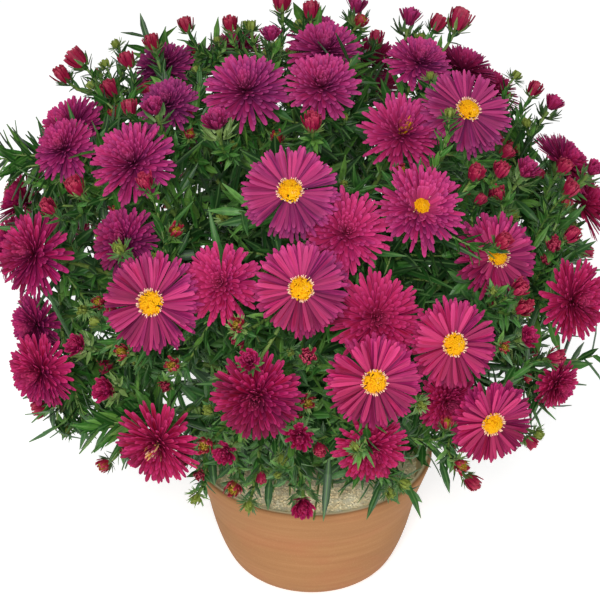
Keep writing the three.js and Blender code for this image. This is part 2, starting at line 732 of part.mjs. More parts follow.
class LeafyStem {
  constructor(index, around) {
    this.index = index;
    this.around = around;
    this.random = stream(STEM_SEED + index);
    this.curve = mainCurve(index);
    this.branches = [];
    this.forks = [];
    this.parts = [];
    this.trunk = this.trunkStations();
  }

  // The stem's own stations, from its buried foot to its top, and the rings through them.
  trunkStations() {
    const shares = [0, ...pairsRound(LOW_NODE, this.curve), STEM.lastNode, 1];
    const above = stationsOn(this.curve, shares, (t) => mix(STEM.radius, STEM.tipRadius, t));
    const low = above[0].place.clone().setZ(SOIL.top - STEM.buried);
    const foot = { place: low, heading: UP, radius: STEM.radius };
    const id = `trunk ${this.index}`;
    this.around.add(above.map(({ place }) => place), STEM.radius, id);
    const stations = [foot, ...above];
    return { id, stations, rings: ringsThrough(stations, STEM.sides, this.index) };
  }

  // A stalk from the stem to the green cup under a bloom, with leaves at its nodes.
  carryBloom(bloom) {
    const seat = bloom.place.clone().addScaledVector(bloom.facing, SEAT.height * bloom.radius - GAP);
    const neck = seat.clone().addScaledVector(bloom.facing, -CUP.depth);
    const curve = this.stalkTo(neck, bloom);
    const stations = [
      ...stationsOn(curve, [0, ...pairsRound(NODE, curve)], (t) => (t ? STALK.radius : STALK.footRadius)),
      { place: neck, heading: bloom.facing, radius: STALK.radius },
      { place: seat, heading: bloom.facing, radius: CUP.radius },
    ];
    const rings = ringsThrough(stations, STALK.sides, this.random() * 2 * Math.PI);
    const id = `stalk ${this.index} ${this.branches.length}`;
    const places = stations.map(({ place }) => place);
    this.branches.push({ id, stations, rings });
    for (const { segment, shares } of FORKS)
      for (const share of shares)
        this.forks.push({ fork: places[segment].clone().lerp(places[segment + 1], share), id });
    this.around.add(places, STALK.radius, id);
    this.around.add([neck, seat], CUP.radius, id);
  }

  // The share of the stem's length at which the stalk to a bloom best leaves it.
  wantedShare(bloom) {
    const { tilt } = anglesFrom(bloom.place);
    if (this.index === 0) return mix(LEAVE_SHARE.near, LEAVE_SHARE.farMiddle, tilt / MIDDLE_CONE);
    const turn = (Math.min(tilt, STALK.lowestTilt) - MIDDLE_CONE) / (STALK.lowestTilt - MIDDLE_CONE);
    return mix(LEAVE_SHARE.near, LEAVE_SHARE.far, turn);
  }

  // The first stalk of several bends that is clear of the other blooms and stems.
  stalkTo(end, bloom) {
    const wanted = this.wantedShare(bloom);
    let curve;
    for (let tries = 0; tries < STALK_BEND.tries; tries++) {
      const drift = tries * STALK_BEND.drift;
      const share = clamp(wanted + mix(-drift, drift, this.random()), LEAVE_SHARE.least, LEAVE_SHARE.most);
      const fork = this.curve.getPoint(share);
      const length = fork.distanceTo(end);
      const leave = this.curve.getTangent(share).add(end.clone().sub(fork).normalize()).normalize();
      const bend = vec(this.random() - 0.5, this.random() - 0.5, this.random() - 0.5).multiplyScalar(tries);
      const arrive = mix(...STALK_BEND.arrive, this.random());
      curve = new THREE.CubicBezierCurve3(
        fork,
        fork.clone().addScaledVector(leave, STALK_BEND.leave * length).add(bend),
        end.clone().addScaledVector(bloom.facing, -arrive * length),
        end,
      );
      const places = [0, ...NODE.shares, 1].map((t) => curve.getPoint(t));
      if (this.around.clear(beyond(places, STALK.root), STALK.radius, [this.trunk.id])) return curve;
    }
    return curve;
  }

  // Leaves for a stalk or the stem itself, one from each side of each node where there is room.
  leavesOf({ stations, rings, id }, { bands }, size) {
    const found = [];
    for (const band of bands) {
      const { place, heading } = stations[band];
      rings[band].forEach((_, side) => {
        const corners = ringCorners(rings[band], rings[band + 1], side);
        const root = corners.reduce((sum, corner) => sum.add(corner), vec(0, 0, 0)).divideScalar(4);
        const away = root.clone().sub(place);
        away.addScaledVector(heading, -away.dot(heading)).normalize();
        const right = corners[1].clone().sub(corners[0]).normalize();
        for (const rise of size.rises) {
          const out = away.clone().addScaledVector(heading, rise).normalize();
          const length = size.length * mix(...LEAF_SIZES, this.random());
          const blade = bladeCorners(root, out, right, length, size);
          if (!this.around.clear(blade.middle, size.width / 2, [id])) continue;
          this.around.add(blade.middle, size.width / 2, "leaf");
          found.push({ band, side, blade });
          break;
        }
      });
    }
    return found;
  }

  // Forks for a twig to a place: free points on the stalks, the nearest first.
  forksNear(place) {
    const reach = ({ fork }) => fork.distanceTo(place);
    const inReach = this.forks.filter((one) => reach(one) > TWIG.shortest && reach(one) < TWIG.longest);
    return inReach.sort((a, b) => reach(a) - reach(b));
  }

  take(fork) {
    this.forks = this.forks.filter((one) => one !== fork);
    return fork;
  }

  // A twig with what it carries, from the nearest fork that leaves it clear.
  carryOnTwig(place, facing, across, endOf) {
    const along = (share) => place.clone().addScaledVector(facing, share * across);
    const neck = along(BUD.neck);
    const top = along(BUD.high);
    if (!this.around.clear([along(BUD.low), top], across / 2, [])) return false;
    for (const one of this.forksNear(neck).slice(0, TWIG.choices)) {
      const { fork, id } = one;
      const heading = neck.clone().sub(fork).normalize();
      if (heading.dot(facing) < 0) continue;
      if (!this.around.clear(beyond([fork, neck, place], TWIG.root), TWIG.radius, [id])) continue;
      this.take(one);
      const foot = { place: fork, heading, radius: TWIG.footRadius };
      const bend = { place: neck, heading: heading.clone().add(facing).normalize(), radius: TWIG.radius };
      this.parts.push(...endOf([foot, bend]));
      this.around.add([fork, neck], TWIG.radius, "twig");
      this.around.add([neck, place, top], across / 2, "bud");
      return true;
    }
    return false;
  }

  carryBud(place, facing, across) {
    const broad = { place, heading: facing, radius: across / 2 };
    const end = place.clone().addScaledVector(facing, BUD.tip * across);
    const tip = { place: end, heading: facing, radius: 0 };
    const endOf = (twig) => [stemThrough([...twig, broad, tip], TWIG.sides)];
    return this.carryOnTwig(place, facing, across, endOf);
  }

  carryTuft(place, facing, across) {
    const frame = frameOf({ place, facing, spin: across });
    const toOwn = frame.clone().invert();
    const base = { place: vec(0, 0, TUFT.base * across), heading: UP, radius: TUFT.baseRadius * across };
    return this.carryOnTwig(place, facing, across, (twig) => {
      const own = twig.map(({ place: at, heading, radius }) => ({
        place: at.clone().applyMatrix4(toOwn),
        heading: heading.clone().transformDirection(toOwn),
        radius,
      }));
      return [placed(tuftSolid(ringsThrough([...own, base], TWIG.sides), across / 2, this.random), frame)];
    });
  }

  // A long leaf on a short twig, from its root to its tip.
  carryHangingLeaf(root, tip) {
    const { fork } = this.take(this.forksNear(root)[0]);
    const heading = root.clone().sub(fork).normalize();
    const foot = { place: fork, heading, radius: TWIG.footRadius };
    const inLeaf = root.clone().addScaledVector(heading, HANGING.socket);
    const end = { place: inLeaf, heading, radius: TWIG.radius };
    const reach = tip.clone().sub(root);
    const out = reach.clone().normalize();
    const blade = bladeCorners(root, out, levelAcross(out), reach.length(), LEAF);
    const ring = [blade.left, blade.keel, blade.right];
    this.parts.push(
      stemThrough([foot, end], TWIG.sides),
      closed([...bandFaces([...ring].reverse(), [root]), ...bandFaces(ring, [blade.tip])]),
    );
    this.around.add([fork, end.place], TWIG.radius, "twig");
    this.around.add(blade.middle, LEAF.width / 2, "leaf");
  }

  body() {
    const trunk = stalkSolid(this.trunk.rings, this.leavesOf(this.trunk, LOW_NODE, LOW_LEAF));
    const stalks = this.branches.map((branch) => stalkSolid(branch.rings, this.leavesOf(branch, NODE, LEAF)));
    return join([trunk, ...this.parts, ...stalks]);
  }

  // What the soil leaves free round the buried foot.
  hole() {
    const { x, y } = this.curve.getPoint(0);
    const radius = STEM.radius + SOIL.holeMargin;
    const low = { place: vec(x, y, SOIL.top - STEM.buried - GAP), heading: UP, radius };
    const high = { place: vec(x, y, SOIL.top + 2), heading: UP, radius };
    return skinned(ringsThrough([low, high], STEM.sides, this.index));
  }
}

// Far buds stand on an even spiral where no bloom is near.
function backBuds(blooms) {
  const golden = Math.PI * (3 - Math.sqrt(5));
  const found = [];
  for (let i = 0; i < BACK_BUDS.tries; i++) {
    const height = mix(BACK_BUDS.highest, BACK_BUDS.lowest, (i + 0.5) / BACK_BUDS.tries);
    const { place, outward } = domePoint(i * golden, Math.acos(height), BUD_LIFTS[0]);
    const near = blooms.some((bloom) => bloom.place.distanceTo(place) < BACK_BUDS.clear);
    if (place.y > BACK_BUDS.fromMiddle && !near) found.push({ place, facing: outward });
  }
  return found;
}

// Carries a bud or a half-open one at a pixel, at the first height off the dome with room for it.
function budAt(stems, [x, y, across], carry) {
  for (const lift of BUD_LIFTS) {
    const { place, outward } = seenOnDome([x, y], lift);
    const facing = outward.addScaledVector(UP, BUD.towardsSky).normalize();
    if (carry(stems[stemFor(place)], place, facing, across)) return;
  }
}

function growPlant() {
  const units = [...frontBlooms(), ...backBlooms()];
  settle(units);
  const blooms = units.flat();
  const around = new Surroundings(blooms);
  const stems = Array.from({ length: SIDE_STEMS + 1 }, (_, i) => new LeafyStem(i, around));
  for (const bloom of blooms) stems[stemFor(bloom.place)].carryBloom(bloom);
  for (const tuft of TUFTS) budAt(stems, tuft, (stem, ...rest) => stem.carryTuft(...rest));
  for (const bud of BUDS) budAt(stems, bud, (stem, ...rest) => stem.carryBud(...rest));
  for (const { place, facing } of backBuds(blooms))
    stems[stemFor(place)].carryBud(place, facing, BACK_BUDS.across);
  for (const { root, tip } of HANGING_LEAVES) {
    const { place } = seenOnDome(root, HANGING.lift);
    const end = EYE.clone().addScaledVector(sightLine(tip), EYE.distanceTo(place) - HANGING.nearer);
    stems[stemFor(place)].carryHangingLeaf(place, end);
  }
  return { units, stems };
}

// Pot and soil

function turned(profile) {
  const lathe = new THREE.LatheGeometry(profile, POT.facets);
  lathe.rotateX(Math.PI / 2);
  return solid(lathe);
}

// How far the curves' middle points stand from the foot, and the rim's small bevel.
const CURVES = {
  inner: { out: 3, up: 8 },
  foot: { in: 3, up: 2.6 },
  sideShare: 0.65,
  bevel: 1,
};

// The pot's inner wall from its floor up to a height, drawn in by an offset.
function innerWall(offset, height) {
  const { rimRadius, restRadius, footRadius, shoulderRadius, shoulderHeight, wall, floor } = POT;
  const shoulder = shoulderRadius - wall - offset;
  const share = (height - shoulderHeight) / (POT.height - shoulderHeight);
  const { out, up } = CURVES.inner;
  const path = new THREE.Path();
  path.moveTo(restRadius - wall - offset, floor + offset);
  path.quadraticCurveTo(footRadius + out - offset, floor + up, shoulder, shoulderHeight);
  path.lineTo(mix(shoulder, rimRadius - wall - offset, share), height);
  return path.getPoints(PROFILE_STEPS);
}

function potSolid() {
  const { rimRadius, height, restRadius, footRadius, footHeight, shoulderRadius, shoulderHeight } = POT;
  const side = mix(footRadius, shoulderRadius, CURVES.sideShare);
  const outside = new THREE.Path();
  outside.moveTo(0, 0);
  outside.lineTo(restRadius, 0);
  outside.quadraticCurveTo(footRadius - CURVES.foot.in, CURVES.foot.up, footRadius, footHeight);
  outside.quadraticCurveTo(side, shoulderHeight / 2, shoulderRadius, shoulderHeight);
  outside.lineTo(rimRadius, height - CURVES.bevel);
  outside.lineTo(rimRadius - CURVES.bevel, height);
  const inside = innerWall(0, height).reverse();
  return turned([...outside.getPoints(PROFILE_STEPS), ...inside, new THREE.Vector2(0, POT.floor)]);
}

function soilSolid(stems) {
  const side = innerWall(GAP, SOIL.top);
  const profile = [new THREE.Vector2(0, side[0].y), ...side, new THREE.Vector2(0, SOIL.top)];
  return turned(profile).subtract(join(stems.map((stem) => stem.hole())));
}

// The whole part

function finish(color, roughness) {
  return new THREE.MeshStandardMaterial({ color, roughness, metalness: 0 });
}

const FINISH = {
  pot: finish(COLOURS.terracotta, 0.85),
  soil: finish(COLOURS.soil, 1),
  leaf: finish(COLOURS.leaf, 0.6),
  petal: finish(COLOURS.petal, 0.55),
  disc: finish(COLOURS.disc, 0.8),
};

const part = new THREE.Group();
const { units, stems } = growPlant();
part.add(meshOf("pot", potSolid(), FINISH.pot));
part.add(meshOf("soil", soilSolid(stems), FINISH.soil));
stems.forEach((stem, i) => part.add(meshOf(`leafy_stem_${i + 1}`, stem.body(), FINISH.leaf)));
units.forEach((unit, i) => {
  const random = stream(PETAL_SEED + i);
  const petals = unit.map((bloom) => placed(petalsOf(bloom.form, bloom.radius, random), frameOf(bloom)));
  part.add(meshOf(unit[0].name, join(petals), FINISH.petal));
  if (unit[0].form === OPEN) {
    const disc = placed(discOf(unit[0].radius), frameOf(unit[0]));
    part.add(meshOf(unit[0].name.replace("bloom", "disc"), disc, FINISH.disc));
  }
});

export default part;
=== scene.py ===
"""A potted aster in full bloom: the looks of the pot, soil, stems, leaves, buds and blooms.

It is laid out as an add-on and run as a script. The solids give where every bloom, stalk, leaf and
bud is, and each one is replaced by a finer piece in the same place.
"""

import math
import random

import bmesh
import bpy
from bpy.props import FloatProperty, IntProperty, PointerProperty
from mathutils import Matrix, Quaternion, Vector
from mathutils.kdtree import KDTree


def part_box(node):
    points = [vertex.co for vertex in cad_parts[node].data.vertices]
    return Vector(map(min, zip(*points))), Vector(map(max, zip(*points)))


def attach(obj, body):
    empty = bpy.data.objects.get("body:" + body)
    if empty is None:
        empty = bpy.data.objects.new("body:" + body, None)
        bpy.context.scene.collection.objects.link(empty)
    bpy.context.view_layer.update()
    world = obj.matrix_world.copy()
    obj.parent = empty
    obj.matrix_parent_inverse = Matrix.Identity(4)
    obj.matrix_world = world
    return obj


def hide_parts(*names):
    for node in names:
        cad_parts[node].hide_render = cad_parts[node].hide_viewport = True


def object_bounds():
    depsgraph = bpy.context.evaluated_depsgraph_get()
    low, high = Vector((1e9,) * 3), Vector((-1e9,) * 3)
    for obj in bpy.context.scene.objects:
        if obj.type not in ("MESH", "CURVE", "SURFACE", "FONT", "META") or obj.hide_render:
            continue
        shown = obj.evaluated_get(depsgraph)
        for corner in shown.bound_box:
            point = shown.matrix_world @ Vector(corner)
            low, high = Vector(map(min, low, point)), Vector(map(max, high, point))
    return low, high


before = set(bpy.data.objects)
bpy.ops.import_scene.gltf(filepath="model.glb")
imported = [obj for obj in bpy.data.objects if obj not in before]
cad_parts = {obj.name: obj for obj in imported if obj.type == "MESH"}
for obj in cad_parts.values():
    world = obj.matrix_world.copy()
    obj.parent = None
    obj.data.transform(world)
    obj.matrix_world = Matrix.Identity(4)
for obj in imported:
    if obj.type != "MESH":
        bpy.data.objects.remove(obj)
CAD_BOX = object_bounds()

bl_info = {
    "name": "Potted aster",
    "version": (1, 0, 0),
    "blender": (4, 5, 0),
    "location": "3D View > Sidebar > Aster",
    "description": "Builds the looks of a potted aster round its solids",
    "category": "Object",
}

MM = 0.001
UP = Vector((0, 0, 1))
FULL_TURN = 2 * math.pi
GOLDEN_ANGLE = math.pi * (3 - math.sqrt(5))
# A turn that may be any is drawn up to this many radians.
ANY_TURN = 6.28
# Seeds of whorls are drawn below this.
SEEDS = 1000

# Sizes that the solids were grown with, in millimetres where MM isn't named.
SOIL_TOP = 60 * MM
POT = {"foot": (37, 46.5, 8.5), "shoulder": (57, 45), "rim": (65, 70), "wall": 4, "floor": 6}
DOME_CENTRE = Vector((-5, 0, 187)) * MM
SIDE_STEMS = 6
STEM = {"radius": 2.6, "tip": 2.1, "ring": 13, "buried": 12, "straight": 30, "lean": (34, 123), "end": (56, 176)}
MIDDLE_STEM = {"straight": 40, "turn": 156, "height": 206}
MIDDLE_CONE = math.radians(40)
LOWEST_TILT = math.radians(125)
STALK_RADIUS = 1.3 * MM
NODE_SHARES = (0.56, 0.88)
NODE_LENGTH = 2 * MM
LEAVE = {"near": 0.95, "far": 0.35, "far_middle": 0.6, "least": 0.15, "most": 0.97}
BEND = {"leave": 0.3, "arrive": (0.25, 0.45), "drift": 0.006, "tries": 60}
SEAT = -0.2
SEAT_GAP = 0.3 * MM
CUP_DEPTH = 5 * MM
STEM_SEED = 100
FORKS = ((0, 0.6), (0, 0.85), (2, 0.2), (2, 0.5), (2, 0.8), (4, 0.5))

# Shares of a bloom's radius at which the solids' landmarks lie.
HEART = {"top": 0.44, "cleft": 0.26, "notch": 0.22, "petals": 6}
DISC = {"ring": 0.62 * 0.25, "top": 0.2 + 0.17, "sides": 8}
BUD_NECK = -0.9
BUD_TIP = 0.7
BUD_SIDES = 4
TUFT = {"petals": 8, "top": 0.5, "cleft": 0.3, "notch": 0.5}
NECK_RADIUS = 0.9 * MM
LEAVES = (
    {"width": 6 * MM, "thickness": 1.0 * MM, "broad": 0.42, "rise": 0.05},
    {"width": 8 * MM, "thickness": 1.1 * MM, "broad": 0.45, "rise": 0.05},
)
CLOSE = 0.05 * MM
WELD = 0.002 * MM
# Radii that a bloom read from its disc may have, and how many blooms a group has.
RADII = (15 * MM, 30 * MM)
GROUP = 3
# Corners on a stalk's rings that show that it is the right one.
ENOUGH_CORNERS = 6
# How wide a real leaf is against the solid's, which has to be thick enough to make.
LEAF_SLIM = 0.74


def mix(a, b, share):
    return a + (b - a) * share


def polar(angle, radius, height):
    return Vector((radius * math.cos(angle), radius * math.sin(angle), height))


def mean(points):
    return sum(points, Vector()) / len(points)


def stream(seed):
    """The repeatable stream of numbers that the solids were grown with."""
    full = 0xFFFFFFFF
    state = seed & full

    def draw():
        nonlocal state
        state = (state + 0x6D2B79F5) & full
        t = ((state ^ (state >> 15)) * (1 | state)) & full
        t = ((t + (((t ^ (t >> 7)) * (61 | t)) & full)) & full) ^ t
        return (t ^ (t >> 14)) / 4294967296

    return draw


# Reading the solids


def welded(node):
    """A node's solid with its corners joined, for reading only."""
    made = bmesh.new()
    made.from_mesh(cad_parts[node].data)
    bmesh.ops.remove_doubles(made, verts=made.verts, dist=WELD)
    return made


def linked(vert):
    return [edge.other_vert(vert) for edge in vert.link_edges]


def circle_middle(a, b, c):
    """Middle of the circle through three points."""
    ab, ac = b - a, c - a
    normal = ab.cross(ac)
    way = normal.cross(ab) * ac.length_squared + ac.cross(normal) * ab.length_squared
    return a + way / (2 * normal.length_squared)


def double_blooms(node):
    """Middle, facing and radius of each double bloom in a node, read from the row round its heart."""
    made = welded(node)
    found = []
    for vert in made.verts:
        near = sorted((other.co for other in linked(vert)), key=lambda p: (p - vert.co).length)
        if len(near) < 2 * HEART["petals"]:
            continue
        for start in range(3):
            clefts = near[start : start + HEART["petals"] - 1]
            middle = circle_middle(*clefts[:3])
            axis = vert.co - middle
            radius = axis.length / (HEART["top"] - HEART["cleft"])
            if all(abs((p - middle).length - HEART["notch"] * radius) < CLOSE for p in clefts):
                facing = axis.normalized()
                found.append(bloom_at(vert.co - facing * HEART["top"] * radius, facing, radius, "double"))
                break
    made.free()
    return found


def open_bloom(disc):
    """Middle, facing and radius of an open bloom, read from its disc."""
    made = welded(disc)
    for vert in made.verts:
        ring = [other.co for other in linked(vert)]
        middle = mean(ring)
        radius = (ring[0] - middle).length / DISC["ring"]
        level = all(abs((p - middle).length - DISC["ring"] * radius) < CLOSE for p in ring)
        if len(ring) == DISC["sides"] and level and RADII[0] < radius < RADII[1]:
            facing = (vert.co - middle).normalized()
            place = vert.co - facing * (DISC["top"] * radius + SEAT_GAP)
            made.free()
            return bloom_at(place, facing, radius, "open")
    raise RuntimeError(f"{disc} has no tip that gives its bloom's middle")


def bloom_at(place, facing, radius, form):
    return {"place": place.copy(), "facing": facing.copy(), "radius": radius, "form": form}


def read_blooms():
    """Every bloom with its node, in the order in which the stalks were grown."""
    blooms = []
    singles = sorted(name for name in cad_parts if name.startswith("bloom_") and "group" not in name)
    for node in singles:
        disc = node.replace("bloom", "disc")
        found = [open_bloom(disc)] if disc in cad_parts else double_blooms(node)
        if len(found) != 1:
            raise RuntimeError(f"{node} gives {len(found)} blooms")
        blooms += [dict(bloom, node=node) for bloom in found]
    groups = sorted(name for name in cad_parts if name.startswith("bloom_group"))
    for group, node in enumerate(groups):
        found = sorted(double_blooms(node), key=lambda bloom: bloom["radius"])
        if len(found) != GROUP:
            raise RuntimeError(f"{node} gives {len(found)} blooms")
        found = [found[(group + i) % GROUP] for i in range(GROUP)]
        blooms += [dict(bloom, node=node) for bloom in found]
    return blooms


def tree_of(points):
    """A tree that finds which of some points are near a place."""
    tree = KDTree(len(points))
    for i, point in enumerate(points):
        tree.insert(point, i)
    tree.balance()
    return tree


class Bezier:
    """A cubic curve through four points."""

    def __init__(self, *points):
        self.points = points

    def at(self, t):
        a, b, c, d = self.points
        s = 1 - t
        return a * s**3 + b * (3 * s * s * t) + c * (3 * s * t * t) + d * t**3

    def heading(self, t):
        a, b, c, d = self.points
        s = 1 - t
        return ((b - a) * (s * s) + (c - b) * (2 * s * t) + (d - c) * (t * t)).normalized()

    def length(self, steps=200):
        points = [self.at(i / steps) for i in range(steps + 1)]
        return sum((b - a).length for a, b in zip(points, points[1:]))


def level_across(heading):
    across = UP.cross(heading)
    return Vector((1, 0, 0)) if across.length_squared < 1e-4 else across.normalized()


def dome_angles(place):
    out = place - DOME_CENTRE
    return math.atan2(math.hypot(out.x, out.y), out.z), math.atan2(out.y, out.x)


def stem_for(place):
    tilt, bearing = dome_angles(place)
    if tilt < MIDDLE_CONE:
        return 0
    return 1 + (math.floor(bearing / FULL_TURN * SIDE_STEMS + 0.5) + SIDE_STEMS) % SIDE_STEMS


def main_curve(index):
    """The way of a leafy stem from the soil to where its last stalks part."""
    bearing = (index - 1) * FULL_TURN / SIDE_STEMS
    if index == 0:
        x = DOME_CENTRE.x / MM
        ways = (0, 0), (0, MIDDLE_STEM["straight"]), (x, MIDDLE_STEM["turn"]), (x, MIDDLE_STEM["height"])
        bearing = 0
    else:
        ways = (STEM["ring"], 0), (STEM["ring"], STEM["straight"]), STEM["lean"], STEM["end"]
    foot, straight, *rest = (polar(bearing, out * MM, height * MM) for out, height in ways)
    return Bezier(foot + UP * (SOIL_TOP + MM), straight + UP * SOIL_TOP, *rest)


def wanted_share(index, bloom):
    tilt, _ = dome_angles(bloom["place"])
    if index == 0:
        return mix(LEAVE["near"], LEAVE["far_middle"], tilt / MIDDLE_CONE)
    turn = (min(tilt, LOWEST_TILT) - MIDDLE_CONE) / (LOWEST_TILT - MIDDLE_CONE)
    return mix(LEAVE["near"], LEAVE["far"], turn)


def node_shares(curve):
    half = NODE_LENGTH / 2 / curve.length()
    return [share + side for share in NODE_SHARES for side in (-half, half)]


class Stem:
    """A leafy stem as it stands in the solids: its stalks, leaves, buds and half-open buds."""

    def __init__(self, index):
        self.index = index
        self.node = f"leafy_stem_{index + 1}"
        self.curve = main_curve(index)
        self.draw = stream(STEM_SEED + index)
        made = welded(self.node)
        self.corners = tree_of([vert.co for vert in made.verts])
        made.free()
        self.stalks = []
        self.small = []

    def grow_stalk(self, bloom):
        """Finds the stalk that the solid has: the first of its tries whose rings are in it."""
        facing = bloom["facing"]
        seat = bloom["place"] + facing * (SEAT * bloom["radius"] - SEAT_GAP)
        neck = seat - facing * CUP_DEPTH
        wanted = wanted_share(self.index, bloom)
        for tries in range(BEND["tries"]):
            drift = tries * BEND["drift"]
            share = wanted + mix(-drift, drift, self.draw())
            share = min(LEAVE["most"], max(LEAVE["least"], share))
            fork = self.curve.at(share)
            length = (neck - fork).length
            leave = (self.curve.heading(share) + (neck - fork).normalized()).normalized()
            bend = Vector([self.draw() - 0.5 for _ in range(3)]) * tries * MM
            arrive = mix(*BEND["arrive"], self.draw())
            start = fork + leave * (BEND["leave"] * length) + bend
            curve = Bezier(fork, start, neck - facing * (arrive * length), neck)
            rings = [(curve.at(t), curve.heading(t)) for t in node_shares(curve)]
            if self.has_rings(rings):
                # The draw for the stalk's own turn, which the looks don't need.
                self.draw()
                places = [fork, *(place for place, _ in rings), neck, seat]
                forks = [places[s].lerp(places[s + 1], along) for s, along in FORKS]
                self.stalks.append({"bloom": bloom, "curve": curve, "forks": forks, "seat": seat, "neck": neck})
                return
        raise RuntimeError(f"{self.node} has no stalk for {bloom['node']}")

    def has_rings(self, rings):
        """Whether corners of the solid lie on the rings of a stalk's two nodes."""
        found = 0
        for place, heading in rings:
            for co, _, _ in self.corners.find_range(place, STALK_RADIUS + CLOSE):
                out = co - place
                found += abs(out.length - STALK_RADIUS) < CLOSE and abs(out.dot(heading)) < CLOSE
        return found >= ENOUGH_CORNERS

    def read_solid(self):
        """Leaves, buds and half-open buds, read from the solid's corners."""
        made = welded(self.node)
        self.leaves, self.buds, self.tufts = [], [], []
        for vert in made.verts:
            near = linked(vert)
            if len(near) == 3:
                self.read_leaf(vert, near)
            elif len(near) == BUD_SIDES:
                self.read_bud(vert, near)
            elif len(near) == 2 * TUFT["petals"]:
                self.read_tuft(vert, near)
        made.free()

    def read_leaf(self, tip, near):
        for kind, leaf in enumerate(LEAVES):
            for keel in near:
                left, right = (other for other in near if other is not keel)
                broad = (left.co + right.co) / 2
                drop = keel.co - broad
                wide = abs((left.co - right.co).length - leaf["width"]) < CLOSE
                if not wide or abs(drop.length - leaf["thickness"]) > CLOSE:
                    continue
                over = -drop.normalized()
                heading = (tip.co - broad).normalized()
                heading = (heading - over * heading.dot(over)).normalized()
                length = (tip.co - broad).dot(heading) / (1 - leaf["broad"])
                root = broad - heading * (leaf["broad"] * length) - over * (leaf["rise"] * length)
                self.leaves.append(blade(root, heading, over, length, leaf["width"] * LEAF_SLIM, kind))
                return

    def read_bud(self, tip, near):
        middle = mean([other.co for other in near])
        radius = (near[0].co - middle).length
        even = all(abs((other.co - middle).length - radius) < CLOSE for other in near)
        if not even or abs((tip.co - middle).length - 2 * BUD_TIP * radius) > CLOSE:
            return
        facing = (tip.co - middle).normalized()
        self.buds.append(self.bud(middle, facing, 2 * radius))

    def read_tuft(self, top, near):
        clefts = sorted((other.co for other in near), key=lambda p: (p - top.co).length)[: TUFT["petals"]]
        middle = mean(clefts)
        axis = top.co - middle
        radius = axis.length / (TUFT["top"] - TUFT["cleft"])
        if any(abs((p - middle).length - TUFT["notch"] * radius) > CLOSE for p in clefts):
            return
        facing = axis.normalized()
        self.tufts.append(self.bud(top.co - facing * TUFT["top"] * radius, facing, 2 * radius))

    def bud(self, place, facing, across):
        """A bud with the fork that its twig comes from, told from how the ring at its neck leans."""
        neck = place + facing * (BUD_NECK * across)
        near = self.corners.find_range(neck, NECK_RADIUS + CLOSE)
        ring = [co for co, _, away in near if away > NECK_RADIUS - CLOSE]
        heading = facing
        if len(ring) >= 3:
            lean = (ring[1] - ring[0]).cross(ring[2] - ring[0]).normalized()
            heading = (lean * (2 * lean.dot(facing)) - facing).normalized()
        forks = [fork for stalk in self.stalks for fork in stalk["forks"]]
        fork = max(forks, key=lambda one: (neck - one).normalized().dot(heading))
        return {"place": place.copy(), "facing": facing, "across": across, "neck": neck, "fork": fork}


def blade(root, heading, over, length, width, kind, tone=None):
    """One blade to set: its root, its own axes, its size, its kind and how light it is."""
    made = {"root": root.copy(), "heading": heading, "over": over, "length": length}
    return {**made, "width": width, "kind": kind, "tone": tone}


def read_plant():
    blooms = read_blooms()
    stems = [Stem(index) for index in range(SIDE_STEMS + 1)]
    for bloom in blooms:
        stems[stem_for(bloom["place"])].grow_stalk(bloom)
    for stem in stems:
        stem.read_solid()
    return blooms, stems


# Putting node trees together


class Nodes:
    """A node tree that is put together one node at a time."""

    def __init__(self, tree):
        self.tree = tree

    @staticmethod
    def socket(sockets, label):
        if isinstance(label, int):
            return sockets[label]
        return next(socket for socket in sockets if socket.enabled and label in (None, socket.name))

    def add(self, kind, inputs=None, output=None, **settings):
        """Adds a node, joins or sets its inputs, and gives one of its outputs."""
        node = self.tree.nodes.new(kind)
        count = len(self.tree.nodes)
        node.location = (200 * (count % 12), -220 * (count // 12))
        for key, value in settings.items():
            setattr(node, key, value)
        for label, value in (inputs or {}).items():
            socket = self.socket(node.inputs, label)
            if isinstance(value, bpy.types.NodeSocket):
                self.tree.links.new(value, socket)
            else:
                socket.default_value = value
        return self.socket(node.outputs, output) if node.outputs else node

    def math(self, operation, *values):
        return self.add("ShaderNodeMath", dict(enumerate(values)), operation=operation)

    def vector(self, operation, a, b):
        label = "Scale" if operation == "SCALE" else 1
        return self.add("ShaderNodeVectorMath", {0: a, label: b}, operation=operation)

    def mix(self, a, b, share):
        return self.add("ShaderNodeMix", {"Factor": share, "A": a, "B": b})

    def xyz(self, x, y, z):
        return self.add("ShaderNodeCombineXYZ", {"X": x, "Y": y, "Z": z})


